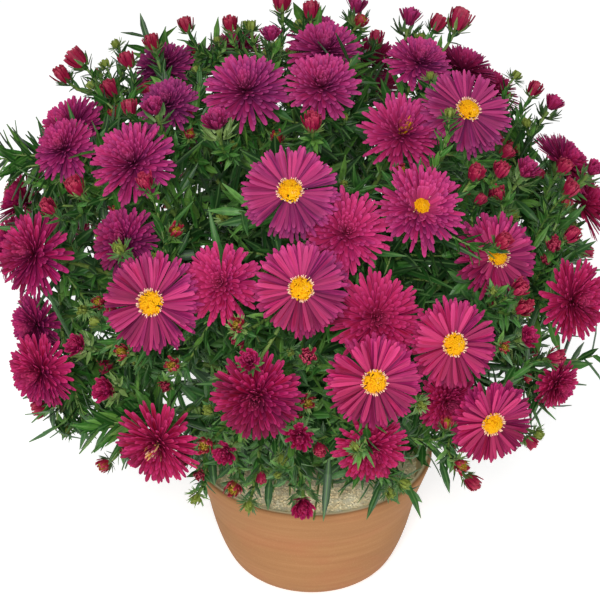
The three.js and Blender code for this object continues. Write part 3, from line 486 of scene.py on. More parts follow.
class Grower(Nodes):
    """A Geometry Nodes tree with named inputs."""

    def __init__(self, name, inputs):
        super().__init__(bpy.data.node_groups.new(name, "GeometryNodeTree"))
        face = self.tree.interface
        for label, kind, default in inputs:
            socket = face.new_socket(label, in_out="INPUT", socket_type="NodeSocket" + kind)
            if default is not None:
                socket.default_value = default
        face.new_socket("Geometry", in_out="OUTPUT", socket_type="NodeSocketGeometry")
        self.given = self.tree.nodes.new("NodeGroupInput").outputs
        self.end = self.tree.nodes.new("NodeGroupOutput")

    def random(self, low, high, seed, shift):
        """An even random number for each element, from its own stream."""
        own = self.math("ADD", seed, shift)
        return self.add("FunctionNodeRandomValue", {"Min": low, "Max": high, "Seed": own})

    def attribute(self, name, kind="FLOAT"):
        return self.add("GeometryNodeInputNamedAttribute", {"Name": name}, "Attribute", data_type=kind)

    def store(self, geometry, name, value, kind="FLOAT"):
        given = {"Geometry": geometry, "Name": name, "Value": value}
        return self.add("GeometryNodeStoreNamedAttribute", given, data_type=kind, domain="INSTANCE")

    def source(self, label):
        """The mesh of an object given as an input, as one thing to place."""
        return self.add("GeometryNodeObjectInfo", {"Object": self.given[label], "As Instance": True}, "Geometry")

    def pick(self, labels):
        """Several given objects, to choose among."""
        join = self.tree.nodes.new("GeometryNodeJoinGeometry")
        for label in reversed(labels):
            self.tree.links.new(self.source(label), join.inputs[0])
        return join.outputs[0]

    def rotation(self, euler):
        return self.add("FunctionNodeEulerToRotation", {"Euler": euler})

    def set_on(self, points, shape_, rotation, size, **more):
        """Sets a shape, or one of several, on each point."""
        given = {"Points": points, "Instance": shape_, "Rotation": rotation, "Scale": size}
        given.update({label.replace("_", " "): value for label, value in more.items()})
        return self.add("GeometryNodeInstanceOnPoints", given)

    def bend_and_end(self, placed, rotation, curl, sway):
        """Bends each placed blade over its length, then gives it its material."""
        for name, axis, amount in (("over", (0, 0, 1), curl), ("beside", (0, 1, 0), sway)):
            turned = self.add("FunctionNodeRotateVector", {"Vector": axis, "Rotation": rotation})
            placed = self.store(placed, name, self.vector("SCALE", turned, amount), "FLOAT_VECTOR")
        made = self.add("GeometryNodeRealizeInstances", {"Geometry": placed})
        along = self.attribute("along")
        over, beside = (self.attribute(name, "FLOAT_VECTOR") for name in ("over", "beside"))
        push = self.vector("SCALE", self.vector("ADD", over, beside), self.math("MULTIPLY", along, along))
        made = self.add("GeometryNodeSetPosition", {"Geometry": made, "Offset": push})
        for name in ("over", "beside"):
            made = self.add("GeometryNodeRemoveAttribute", {"Geometry": made, "Name": name})
        self.finish(made)

    def finish(self, made):
        made = self.add("GeometryNodeSetShadeSmooth", {"Geometry": made})
        made = self.add("GeometryNodeSetMaterial", {"Geometry": made, "Material": self.given["Material"]})
        self.tree.links.new(made, self.end.inputs[0])


# How far each blade of a whorl may differ from its neighbours, and how far one side of the whorl
# differs from the other: one side takes a higher shade, which on petals is more violet, as painted
# shade, and the side a quarter turn round it is painted lighter, as painted light; the opposite sides
# go the other way.
VARY = {"width": 0.15, "roll": 3.0, "curl": 0.6, "shade": 0.16, "light": 0.25}
PAINTED_SIDE_LIGHT = {"turn": 0.8, "shade": 0.16, "light": 0.14}
# Streaks are read from a pattern that each blade meets somewhere on this length.
STREAKS = 40.0


def whorl_tree():
    """Blades set in a spiral round the Z axis, from the outermost and lowest to the innermost."""
    plain = {"Thickness": 0.15, "Spread": 0.1, "Fullness": 1.0, "Uneven": 0.06, "Sway": 0.05, "Scatter": 0.5}
    plain.update({"Shade": 0.5, "Light": 0.5})
    pairs = ("Width", "Tilt", "Length", "Root Radius", "Root Height", "Curl")
    inputs = [("Count", "Int", 60), ("Seed", "Int", 0), ("Blade", "Object", None), ("Material", "Material", None)]
    inputs += [(label, "Float", default) for label, default in plain.items()]
    inputs += [(f"{end} {label}", "Float", 0.0) for label in pairs for end in ("First", "Last")]
    grow = Grower("spiral_whorl", inputs)
    given, math_ = grow.given, grow.math
    seed = given["Seed"]

    def vary(value, most, shift):
        return math_("MULTIPLY_ADD", grow.random(-1, 1, seed, shift), most, value)

    index = grow.add("GeometryNodeInputIndex")
    last = math_("MAXIMUM", math_("SUBTRACT", given["Count"], 1), 1)
    left = math_("SUBTRACT", 1, math_("DIVIDE", index, last))
    share = math_("SUBTRACT", 1, math_("POWER", left, given["Fullness"]))
    value = {label: grow.mix(given["First " + label], given["Last " + label], share) for label in pairs}
    turn = vary(math_("MULTIPLY", index, GOLDEN_ANGLE), given["Scatter"], 1)
    turn = math_("ADD", turn, seed)
    tilt = vary(value["Tilt"], given["Spread"], 2)
    length = math_("MULTIPLY", value["Length"], vary(1, given["Uneven"], 3))
    width = math_("MULTIPLY", value["Width"], vary(1, VARY["width"], 4))
    roll = math_("MULTIPLY", vary(0, VARY["roll"], 5), given["Spread"])
    radius = value["Root Radius"]
    beside = [math_("MULTIPLY", math_(way, turn), radius) for way in ("COSINE", "SINE")]
    spot = grow.xyz(*beside, value["Root Height"])
    rotation = grow.rotation(grow.xyz(roll, math_("MULTIPLY", tilt, -1), turn))
    size = grow.xyz(length, width, given["Thickness"])
    points = grow.add("GeometryNodePoints", {"Count": given["Count"], "Position": spot})
    placed = grow.set_on(points, grow.source("Blade"), rotation, size)
    # Painted light and shade: where a blade stands round the whorl shifts its shade and its light.
    drift = math_("MULTIPLY_ADD", math_("SINE", seed), PAINTED_SIDE_LIGHT["turn"], turn)
    shade = math_("MULTIPLY_ADD", math_("COSINE", drift), PAINTED_SIDE_LIGHT["shade"], given["Shade"])
    light = math_("MULTIPLY_ADD", math_("SINE", drift), PAINTED_SIDE_LIGHT["light"], given["Light"])
    placed = grow.store(placed, "shade", vary(shade, VARY["shade"], 6))
    placed = grow.store(placed, "depth", share)
    placed = grow.store(placed, "streak", grow.random(0, STREAKS, seed, 7))
    placed = grow.store(placed, "light", vary(light, VARY["light"], 10))
    curl = math_("MULTIPLY", value["Curl"], math_("MULTIPLY", length, vary(1, VARY["curl"], 8)))
    sway = math_("MULTIPLY", vary(0, 1, 9), math_("MULTIPLY", length, given["Sway"]))
    grow.bend_and_end(placed, rotation, curl, sway)
    return grow.tree


BLADE_LABELS = ("Blade A", "Blade B", "Blade C")


def blades_tree():
    """Blades set on points that say how each one is turned, how large it is and how it bends."""
    inputs = [("Geometry", "Geometry", None), ("Material", "Material", None)]
    inputs += [(label, "Object", None) for label in BLADE_LABELS]
    grow = Grower("blades_on_points", inputs)
    turn, size = (grow.attribute(name, "FLOAT_VECTOR") for name in ("turn", "size"))
    rotation = grow.rotation(turn)
    points = grow.add("GeometryNodeMeshToPoints", {"Mesh": grow.given["Geometry"]})
    picked = {"Pick_Instance": True, "Instance_Index": grow.attribute("kind", "INT")}
    placed = grow.set_on(points, grow.pick(BLADE_LABELS), rotation, size, **picked)
    grow.bend_and_end(placed, rotation, grow.attribute("curl"), grow.attribute("sway"))
    return grow.tree


def tube_tree():
    """Round stalks along the edges of a mesh, as thick as its corners say."""
    inputs = [("Geometry", "Geometry", None), ("Sides", "Int", 8), ("Material", "Material", None)]
    grow = Grower("tube_on_paths", inputs)
    path = grow.add("GeometryNodeMeshToCurve", {"Mesh": grow.given["Geometry"]})
    ring = grow.add("GeometryNodeCurvePrimitiveCircle", {"Resolution": grow.given["Sides"], "Radius": 1.0})
    made = grow.add(
        "GeometryNodeCurveToMesh",
        {"Curve": path, "Profile Curve": ring, "Scale": grow.attribute("thickness"), "Fill Caps": True},
    )
    grow.finish(made)
    return grow.tree


GRAIN_SIZE = (0.5 * MM, 1.3 * MM)


def grains_tree():
    """Small grains strewn over a surface, which stays under them."""
    inputs = [("Geometry", "Geometry", None), ("Density", "Float", 60000.0), ("Seed", "Int", 4)]
    inputs += [("Grain", "Object", None), ("Material", "Material", None)]
    grow = Grower("grains_on_surface", inputs)
    given = grow.given
    seed = given["Seed"]
    strewn = {"Mesh": given["Geometry"], "Density": given["Density"], "Seed": seed}
    points = grow.add("GeometryNodeDistributePointsOnFaces", strewn, "Points")
    rotation = grow.rotation(grow.xyz(*(grow.random(0, ANY_TURN, seed, k) for k in (1, 2, 3))))
    placed = grow.set_on(points, grow.source("Grain"), rotation, grow.random(*GRAIN_SIZE, seed, 5))
    placed = grow.store(placed, "shade", grow.random(0, 1, seed, 6))
    made = grow.add("GeometryNodeRealizeInstances", {"Geometry": placed})
    join = grow.tree.nodes.new("GeometryNodeJoinGeometry")
    grow.tree.links.new(made, join.inputs[0])
    grow.tree.links.new(given["Geometry"], join.inputs[0])
    grow.finish(join.outputs[0])
    return grow.tree


def grown(tree, start=None, **values):
    """The mesh that a tree makes from its named inputs and, if it wants one, a start mesh."""
    holder = bpy.data.objects.new("start", start or bpy.data.meshes.new("start"))
    bpy.context.scene.collection.objects.link(holder)
    modifier = holder.modifiers.new("grow", "NODES")
    modifier.node_group = tree
    inputs = [item for item in tree.interface.items_tree if item.in_out == "INPUT"]
    known = {item.name.lower().replace(" ", "_"): item.identifier for item in inputs}
    for label, value in values.items():
        modifier[known[label]] = value
    depsgraph = bpy.context.evaluated_depsgraph_get()
    seen = holder.evaluated_get(depsgraph)
    made = bpy.data.meshes.new_from_object(seen, preserve_all_data_layers=True, depsgraph=depsgraph)
    bpy.data.objects.remove(holder)
    return made


# Small shapes that are set many times


def strap(name, stations, thick):
    """A closed narrow blade of unit length along X and unit width along Y, raised along its middle."""
    corners, along, aside = [], [], []
    for t, half in stations:
        for y, z in ((half, 0), (0, thick * (0.4 + half)), (-half, 0)):
            corners.append((t, y, z))
            along.append(t)
            aside.append(y)
    faces = []
    for s in range(len(stations) - 1):
        for k in range(3):
            a, b = 3 * s + k, 3 * s + (k + 1) % 3
            faces.append((a, b, b + 3, a + 3))
    end = 3 * (len(stations) - 1)
    faces += [(2, 1, 0), (end, end + 1, end + 2)]
    mesh = shape(name, corners, faces, {"along": along, "aside": aside})
    sharp = mesh.attributes.new("sharp_edge", "BOOLEAN", "EDGE")
    for edge in mesh.edges:
        sides = {corner % 3 for corner in edge.vertices}
        sharp.data[edge.index].value = sides in ({0}, {2}) or edge.vertices[0] // 3 == edge.vertices[1] // 3
    return mesh


def shape(name, corners, faces, attributes=None):
    mesh = bpy.data.meshes.new(name)
    mesh.from_pydata(corners, [], faces)
    for label, values in (attributes or {}).items():
        mesh.attributes.new(label, "FLOAT", "POINT").data.foreach_set("value", values)
    outward(mesh)
    mesh.shade_smooth()
    return mesh


def outward(mesh):
    made = bmesh.new()
    made.from_mesh(mesh)
    bmesh.ops.recalc_face_normals(made, faces=made.faces)
    made.to_mesh(mesh)
    made.free()


PETAL = ((0, 0.2), (0.35, 0.4), (0.72, 0.5), (0.93, 0.42), (1, 0.2))
LEAF_SHAPES = (
    ((0, 0.14), (0.25, 0.45), (0.65, 0.4), (1, 0.03)),
    ((0, 0.16), (0.3, 0.46), (0.6, 0.46), (1, 0.03)),
    ((0, 0.12), (0.22, 0.42), (0.55, 0.48), (1, 0.03)),
)
BRACT = ((0, 0.3), (0.4, 0.5), (1, 0.06))
BUD_PETAL = ((0, 0.3), (0.65, 0.5), (1, 0.34))


def floret(name):
    """A small knob with five lobes."""
    corners, along = [(0, 0, 0)], [0]
    for x, radius in ((0, 0.32), (0.7, 0.5)):
        for k in range(5):
            angle = FULL_TURN * k / 5
            corners.append((x, radius * math.cos(angle), radius * math.sin(angle)))
            along.append(x)
    corners.append((0.9, 0, 0))
    along.append(0.6)
    faces = []
    for k in range(5):
        n = (k + 1) % 5
        faces += [(0, 1 + n, 1 + k), (1 + k, 1 + n, 6 + n, 6 + k), (6 + k, 6 + n, 11)]
    return shape(name, corners, faces, {"along": along, "aside": [0] * len(along)})


class Kit:
    """Trees, small shapes and materials that several pieces share."""

    def __init__(self):
        self.whorl = whorl_tree()
        self.blades = blades_tree()
        self.tube = tube_tree()
        self.grains = grains_tree()
        self.shapes = []
        self.petal = self.keep(strap("petal", PETAL, 0.16))
        self.leaves = [self.keep(strap(f"leaf_{i}", LEAF_SHAPES[i], 0.22)) for i in range(3)]
        self.bract = self.keep(strap("bract", BRACT, 0.35))
        self.bud_petal = self.keep(strap("bud_petal", BUD_PETAL, 0.5))
        self.floret = self.keep(floret("floret"))
        self.grain = self.keep(grain("grain"))
        self.paint = {
            "petal": petal_material(),
            "leaf": leaf_material(),
            "stalk": stalk_material(),
            "bract": bract_material(),
            "bud": bud_material(),
            "floret": floret_material(),
            "pot": pot_material(),
            "soil": soil_material(),
        }

    def keep(self, mesh):
        """A shape as an object that trees can read, out of sight and taken away at the end."""
        made = bpy.data.objects.new(mesh.name, mesh)
        bpy.context.scene.collection.objects.link(made)
        made.hide_render = True
        self.shapes.append(made)
        return made

    def clear(self):
        for made in self.shapes:
            bpy.data.objects.remove(made)


def grain(name):
    """A small uneven lump with eight faces."""
    corners = [(0, 0, 0.8), (1, 0, 0.15), (0.1, 1, -0.1), (-0.85, 0.1, 0), (0, -0.9, 0.1), (0.1, 0, -0.75)]
    faces = []
    for k in range(4):
        a, b = 1 + k, 1 + (k + 1) % 4
        faces += [(0, a, b), (5, b, a)]
    return shape(name, corners, faces)


def add_piece(name, meshes, slot, *nodes):
    """Joins meshes to one piece of the plant in the place of its solids."""
    made = []
    for mesh in meshes:
        one = bpy.data.objects.new(name, mesh)
        bpy.context.scene.collection.objects.link(one)
        made.append(one)
    if len(made) > 1:
        with bpy.context.temp_override(active_object=made[0], selected_editable_objects=made):
            bpy.ops.object.join()
    piece = made[0]
    piece.name = name
    piece.data.name = name
    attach(piece, "root")
    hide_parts(*nodes)
    return piece


def frame_of(place, axis, turn=0.0):
    """The matrix that stands a shape's Z axis along an axis at a place."""
    up = axis.normalized()
    across = Quaternion(up, turn) @ level_across(up)
    over = up.cross(across)
    made = Matrix((across, over, up)).transposed().to_4x4()
    made.translation = place
    return made


# Materials


class Paint(Nodes):
    """A material being put together round its one surface shader."""

    def __init__(self, name, **surface):
        material = bpy.data.materials.new(name)
        material.use_nodes = True
        super().__init__(material.node_tree)
        self.material = material
        self.shader = self.tree.nodes["Principled BSDF"]
        for label, value in surface.items():
            self.shader.inputs[label.replace("_", " ")].default_value = value

    def attribute(self, name):
        return self.add("ShaderNodeAttribute", {}, "Fac", attribute_name=name)

    def place(self, scale=(1, 1, 1)):
        where = self.add("ShaderNodeTexCoord", {}, "Object")
        return self.add("ShaderNodeMapping", {"Vector": where, "Scale": scale})

    def noise(self, where, scale, detail=3.0, rough=0.5):
        given = {"Vector": where, "Scale": scale, "Detail": detail, "Roughness": rough}
        return self.add("ShaderNodeTexNoise", given, "Fac")

    def ramp(self, value, *stops):
        """Colours at shares of a value, given as (share, colour)."""
        node = self.tree.nodes.new("ShaderNodeValToRGB")
        self.tree.links.new(value, node.inputs["Fac"])
        marks = node.color_ramp.elements
        while len(marks) < len(stops):
            marks.new(0.5)
        for mark, (share, colour) in zip(marks, stops):
            mark.position = share
            mark.color = (*linear(colour), 1)
        return node.outputs["Color"]

    def steps(self, value, low, high, start=0.0, end=1.0):
        given = {"Value": value, "From Min": low, "From Max": high, "To Min": start, "To Max": end}
        return self.add("ShaderNodeMapRange", given)

    def blend(self, a, b, share):
        return self.add("ShaderNodeMix", {"Factor": share, "A": a, "B": b}, data_type="RGBA")

    def layers(self, colour, *rows):
        """Lays colours over one another, each as far as a value has gone from one mark to the next."""
        for over, value, low, high, most in rows:
            colour = self.blend(colour, solid(over), self.steps(value, low, high, 0, most))
        return colour

    def join(self, label, value):
        self.tree.links.new(value, self.shader.inputs[label])

    def end(self, colour, height, strength, distance):
        """Gives the shader its colour and its relief, and hands over the material."""
        given = {"Height": height, "Strength": strength, "Distance": distance}
        self.join("Base Color", colour)
        self.join("Normal", self.add("ShaderNodeBump", given))
        return self.material


def linear(colour):
    """A colour as it is seen, given from 0 to 255, as the shader's own."""
    parts = [value / 255 for value in colour]
    return [value / 12.92 if value <= 0.04045 else ((value + 0.055) / 1.055) ** 2.4 for value in parts]


def solid(colour):
    return (*linear(colour), 1)


def blade_streaks(paint, across, down):
    """Fine streaks that run along a blade, different on each one."""
    beside = paint.math("MULTIPLY", paint.attribute("aside"), across)
    along = paint.math("MULTIPLY", paint.attribute("along"), down)
    return paint.noise(paint.xyz(beside, along, paint.attribute("streak")), 1.0, 2.0)


# Heights in metres between which petals are painted lighter and more violet, as painted skylight,
# and down to which they are painted darker crimson, as painted shade.
PAINTED_SKYLIGHT_HEIGHTS = (0.215, 0.3)
PAINTED_SHADE_HEIGHTS = (0.23, 0.09)


def petal_material():
    """Crimson to violet by shade; pale edges and tips as painted highlights; painted skylight high up, more
    violet.
    """
    paint = Paint("petal", Roughness=0.65, Specular_IOR_Level=0.1)
    streak = blade_streaks(paint, 4.5, 1.2)
    along, depth, light = (paint.attribute(name) for name in ("along", "depth", "light"))
    edge = paint.math("ABSOLUTE", paint.attribute("aside"))
    height = paint.add("ShaderNodeSeparateXYZ", {"Vector": paint.place()}, "Z")
    # Painted highlight on the tips of petals high up on the plant.
    painted_skylight_tip = paint.math("MULTIPLY", paint.steps(height, *PAINTED_SKYLIGHT_HEIGHTS), paint.steps(along, 0.75, 1.0))
    hue = paint.ramp(
        paint.attribute("shade"),
        (0.0, (134, 6, 32)),
        (0.3, (152, 8, 52)),
        (0.45, (148, 10, 62)),
        (0.6, (136, 12, 74)),
        (0.8, (116, 16, 78)),
        (1.0, (84, 12, 62)),
    )
    colour = paint.layers(
        hue,
        ((186, 36, 108), streak, 0.5, 0.66, 0.75),
        ((70, 4, 56), streak, 0.49, 0.33, 0.7),
        ((80, 6, 46), along, 0.55, 0.0, 0.6),
        # Painted highlights: paler edges and tips of the petals, and lighter inner petals.
        ((186, 56, 120), edge, 0.3, 0.5, 0.4),
        ((192, 58, 122), along, 0.8, 1.0, 0.45),
        ((208, 70, 120), depth, 0.66, 1.0, 0.6),
        # The light value paints each petal darker or lighter: a tone that differs at random, a lightness given for
        # each bloom, and painted light on one side of each whorl.
        ((26, 0, 14), light, 0.5, 0.0, 0.6),
        ((214, 52, 112), light, 0.5, 1.0, 0.48),
        # Painted skylight high up, with painted highlights on the tips there, and painted shade low down.
        ((134, 60, 124), height, *PAINTED_SKYLIGHT_HEIGHTS, 0.22),
        ((216, 104, 172), painted_skylight_tip, 0.0, 1.0, 0.15),
        ((112, 2, 14), height, *PAINTED_SHADE_HEIGHTS, 0.26),
    )
    return paint.end(colour, streak, 0.5, 0.0005)


def leaf_material():
    paint = Paint("leaf", Roughness=0.5, Specular_IOR_Level=0.4)
    greens = ((0.0, (20, 52, 18)), (0.4, (34, 84, 26)), (0.75, (58, 112, 38)), (1.0, (98, 142, 56)))
    aside = paint.math("ABSOLUTE", paint.attribute("aside"))
    blotch = paint.noise(paint.place(), 260.0)
    colour = paint.layers(
        paint.ramp(paint.attribute("shade"), *greens),
        ((18, 44, 20), blotch, 0.45, 0.7, 0.55),
        ((110, 148, 84), aside, 0.12, 0.0, 0.5),
    )
    return paint.end(colour, paint.steps(aside, 0.0, 0.2), 0.5, 0.0004)


def stalk_material():
    paint = Paint("stalk", Roughness=0.55)
    where = paint.place((1, 1, 0.3))
    mottle = paint.noise(where, 180.0)
    colour = paint.ramp(mottle, (0.3, (58, 88, 34)), (0.5, (88, 116, 48)), (0.7, (116, 134, 62)))
    return paint.end(colour, paint.noise(where, 900.0), 0.3, 0.0003)


def bract_material():
    paint = Paint("bract", Roughness=0.55)
    greens = ((0.0, (34, 66, 30)), (0.5, (66, 104, 48)), (1.0, (120, 146, 76)))
    hue = paint.ramp(paint.attribute("shade"), *greens)
    colour = paint.layers(hue, ((140, 160, 96), paint.attribute("along"), 0.4, 0.0, 0.5))
    return paint.end(colour, blade_streaks(paint, 5.0, 1.0), 0.3, 0.0003)


def bud_material():
    """Crimson petals; where the shade is low, green ones round a yellow eye."""
    paint = Paint("bud", Roughness=0.55, Specular_IOR_Level=0.3)
    shade, depth, along = (paint.attribute(name) for name in ("shade", "depth", "along"))
    hue = paint.ramp(shade, (0.0, (136, 10, 32)), (0.5, (138, 10, 46)), (1.0, (150, 18, 66)))
    streak = blade_streaks(paint, 4.0, 1.0)
    eye = paint.math("MULTIPLY", paint.steps(shade, 0.5, 0.4), paint.steps(depth, 0.3, 0.55))
    colour = paint.layers(
        hue,
        ((92, 4, 30), streak, 0.5, 0.3, 0.5),
        ((184, 44, 78), streak, 0.5, 0.7, 0.4),
        ((200, 80, 100), along, 0.8, 1.0, 0.35),
        ((150, 124, 26), eye, 0.0, 1.0, 1.0),
        ((118, 132, 54), shade, 0.3, 0.2, 1.0),
    )
    return paint.end(colour, streak, 0.3, 0.0003)


def floret_material():
    """Yellow, and pale pink where the shade is full, as in the ring round a disc."""
    paint = Paint("floret", Roughness=0.7, Specular_IOR_Level=0.15)
    yellows = ((0.0, (208, 138, 0)), (0.3, (222, 160, 0)), (0.75, (226, 170, 8)), (1.0, (236, 196, 168)))
    hue = paint.ramp(paint.attribute("shade"), *yellows)
    colour = paint.layers(hue, ((212, 144, 0), paint.attribute("along"), 0.6, 0.0, 0.4))
    return paint.end(colour, paint.noise(paint.place(), 3000.0), 0.3, 0.0002)


def pot_material():
    paint = Paint("terracotta", Roughness=0.85, Specular_IOR_Level=0.25)
    turning = paint.noise(paint.place((3, 3, 60)), 6.0, 4.0)
    patches = paint.noise(paint.place((1, 1, 2)), 22.0, 4.0, 0.6)
    grit = paint.noise(paint.place(), 1500.0, 2.0)
    outer = paint.ramp(turning, (0.3, (150, 105, 67)), (0.5, (157, 111, 71)), (0.7, (164, 118, 77)))
    outer = paint.layers(outer, ((162, 100, 68), patches, 0.5, 0.72, 0.5), ((180, 140, 98), grit, 0.55, 0.75, 0.3))
    inner = paint.ramp(turning, (0.3, (246, 224, 180)), (0.7, (252, 236, 198)))
    colour = paint.blend(outer, inner, paint.attribute("inside"))
    return paint.end(colour, paint.math("MULTIPLY_ADD", grit, 0.4, turning), 0.25, 0.0006)


def soil_material():
    paint = Paint("sandy_soil", Roughness=0.95, Specular_IOR_Level=0.2)
    lumps = paint.noise(paint.place(), 160.0, 5.0, 0.6)
    hue = paint.ramp(lumps, (0.3, (254, 230, 182)), (0.5, (255, 240, 200)), (0.7, (255, 248, 220)))
    colour = paint.layers(hue, ((150, 110, 70), paint.attribute("shade"), 0.85, 1.0, 0.5))
    return paint.end(colour, lumps, 0.5, 0.001)


# Laying out the plant


# How far a bloom reaches under and over its place, as shares of its radius.
BLOOM_LOW = -0.22
BLOOM_HIGH = {"double": 0.5, "open": 0.24}
# The soil's bare strip in front, in millimetres, how far back a sight line gets for each one down,
# and how many of the leaves that would hide it are left out.
STRIP = {"front": -66, "back": -12, "side": 52, "slope": 1.73, "bare": 0.85}
# Shares of a leaf's length: where it may hide the strip, and where it may run into something.
LEAF_SIGHT = 0.8
BLADE_SIGHTS = (0.35, 0.7, 1.0)


class Crowd:
    """Tells whether a point is inside a bloom, the pot's wall or the soil."""

    def __init__(self, blooms):
        self.blooms = blooms
        self.tree = tree_of([bloom["place"] for bloom in blooms])
        self.reach = max(bloom["radius"] for bloom in blooms) * 1.1

    def in_bloom(self, point, margin=0.0):
        for _, i, _ in self.tree.find_range(point, self.reach + margin):
            bloom = self.blooms[i]
            out = point - bloom["place"]
            height = out.dot(bloom["facing"])
            beside = (out - bloom["facing"] * height).length
            radius = bloom["radius"]
            low, high = BLOOM_LOW * radius - margin, BLOOM_HIGH[bloom["form"]] * radius + margin
            if low < height < high and beside < radius + margin:
                return True
        return False

    def in_pot(self, point):
        beside = math.hypot(point.x, point.y)
        if point.z > POT["rim"][1] * MM + 2 * MM or beside > POT["rim"][0] * MM + 2 * MM:
            return False
        return point.z < SOIL_TOP + MM or beside > (POT["rim"][0] - POT["wall"] - 2) * MM

    def over_strip(self, point):
        """Whether a point hides the bare soil in front, as the photograph's camera sees it."""
        behind = point.y + (point.z - SOIL_TOP) * STRIP["slope"]
        return STRIP["front"] * MM < behind < STRIP["back"] * MM and abs(point.x) < STRIP["side"] * MM

    def blocked(self, blade_):
        """Whether a blade's middle or tip would be inside something else, or outside the plant."""
        for share in BLADE_SIGHTS:
            at = blade_["root"] + blade_["heading"] * (share * blade_["length"])
            if self.in_bloom(at) or self.in_pot(at) or outside(at):
                return True
        return False


def outside(point):
    low, high = CAD_BOX
    return any(not low[k] - MM < point[k] < high[k] + MM for k in range(3))


def leaf_around(place, tangent, angle, lean, *size_and_kind):
    """A leaf that leaves a stalk at an angle round it and a lean away from it."""
    out = Quaternion(tangent, angle) @ level_across(tangent)
    heading = (out * math.sin(lean) + tangent * math.cos(lean)).normalized()
    over = (tangent * math.sin(lean) - out * math.cos(lean)).normalized()
    return blade(place, heading, over, *size_and_kind)


# How much leaves differ in length and width, how much the steps between them do, and how far a blade
# curls and sways for its length.
LEAF_VARY = {"length": (0.8, 1.2), "width": (0.85, 1.15), "step": (0.7, 1.3)}
BENDS = {"curl": (-0.24, 0.04), "sway": (-0.1, 0.1)}
# The solids' own leaves have shades up to this one.
SOLID_SHADE = 0.7


def stalk_leaves(curve, steps, bare, spacing, size, rng, crowd, tip_share=0.45, breadth=0.25, lean=(35, 70)):
    """Leaves in a spiral along a stalk, between its two bare ends, smaller towards its tip."""
    made = []
    length = curve.length(steps)
    at = bare[0]
    turn = rng.random() * ANY_TURN
    while at < length - bare[1]:
        share = at / length
        long = size * mix(1.0, tip_share, max(0.0, share * 2 - 1)) * rng.uniform(*LEAF_VARY["length"])
        away = math.radians(rng.uniform(*lean))
        width = long * breadth * rng.uniform(*LEAF_VARY["width"])
        tone, kind = rng.random(), rng.randrange(len(LEAF_SHAPES))
        leaf = leaf_around(curve.at(share), curve.heading(share), turn, away, long, width, kind, tone)
        sight = leaf["root"] + leaf["heading"] * (LEAF_SIGHT * long)
        left_out = crowd.over_strip(sight) and rng.random() < STRIP["bare"]
        if not left_out and not crowd.blocked(leaf):
            made.append(leaf)
        at += spacing * rng.uniform(*LEAF_VARY["step"])
        turn += GOLDEN_ANGLE
    return made


# What a row says of a blade or bud after its place.
ROW_FIELDS = (("turn", "FLOAT_VECTOR"), ("size", "FLOAT_VECTOR"), ("kind", "INT"))
ROW_FIELDS += tuple((name, "FLOAT") for name in ("shade", "curl", "sway", "streak"))


def points_mesh(rows):
    """A mesh of loose corners that say how a blade is set at each of them."""
    mesh = bpy.data.meshes.new("points")
    places, *columns = zip(*rows)
    mesh.from_pydata(places, [], [])
    for (name, kind), values in zip(ROW_FIELDS, columns):
        field = "value"
        if kind == "FLOAT_VECTOR":
            field, values = "vector", [part for value in values for part in value]
        mesh.attributes.new(name, kind, "POINT").data.foreach_set(field, values)
    return mesh


def blade_rows(blades, rng):
    """Blades as the rows that their tree reads."""
    rows = []
    for one in blades:
        turned = Matrix((one["heading"], one["over"].cross(one["heading"]), one["over"])).transposed()
        length, width = one["length"], one["width"]
        shade = rng.random() * SOLID_SHADE if one["tone"] is None else one["tone"]
        bends = [length * rng.uniform(*BENDS[name]) for name in ("curl", "sway")]
        size = (length, width, width)
        turn, streak = turned.to_euler("XYZ"), rng.random() * STREAKS
        rows.append((one["root"], turn, size, one["kind"], shade, *bends, streak))
    return rows


def path_mesh(paths):
    """A mesh of edges along paths of places and thicknesses."""
    corners, edges, thick = [], [], []
    for path in paths:
        first = len(corners)
        corners += [place for place, _ in path]
        thick += [radius for _, radius in path]
        edges += [(first + i, first + i + 1) for i in range(len(path) - 1)]
    mesh = bpy.data.meshes.new("paths")
    mesh.from_pydata(corners, edges, [])
    mesh.attributes.new("thickness", "FLOAT", "POINT").data.foreach_set("value", thick)
    return mesh


# Along the green cup under a bloom: shares of its depth, and how thick it is there in millimetres.
CUP = ((0, 1.15), (0.3, 1.6), (0.6, 2.8), (0.85, 3.6), (1, 3.8))


def tapered(curve, steps, thick, thin, count=None):
    """Places and thicknesses at even steps along a curve."""
    return [(curve.at(t / steps), mix(thick, thin, t / steps)) for t in range(count or steps + 1)]


def stalk_path(stalk):
    path = tapered(stalk["curve"], 14, 1.35 * MM, 1.05 * MM, 14)
    return path + [(stalk["neck"].lerp(stalk["seat"], share), radius * MM) for share, radius in CUP]


def twig_path(fork, neck, facing, thick):
    """A thin twig from a stalk to the neck of a bud, coming in from behind the bud."""
    length = (neck - fork).length
    curve = Bezier(fork, fork.lerp(neck, 0.35), neck - facing * (0.3 * length), neck)
    return curve, tapered(curve, 7, thick, thick * 0.75)


def trunk_path(index):
    curve = main_curve(index)
    foot = curve.at(0) - UP * (STEM["buried"] * MM)
    return [(foot, STEM["radius"] * MM)] + tapered(curve, 12, STEM["radius"] * MM, STEM["tip"] * MM)


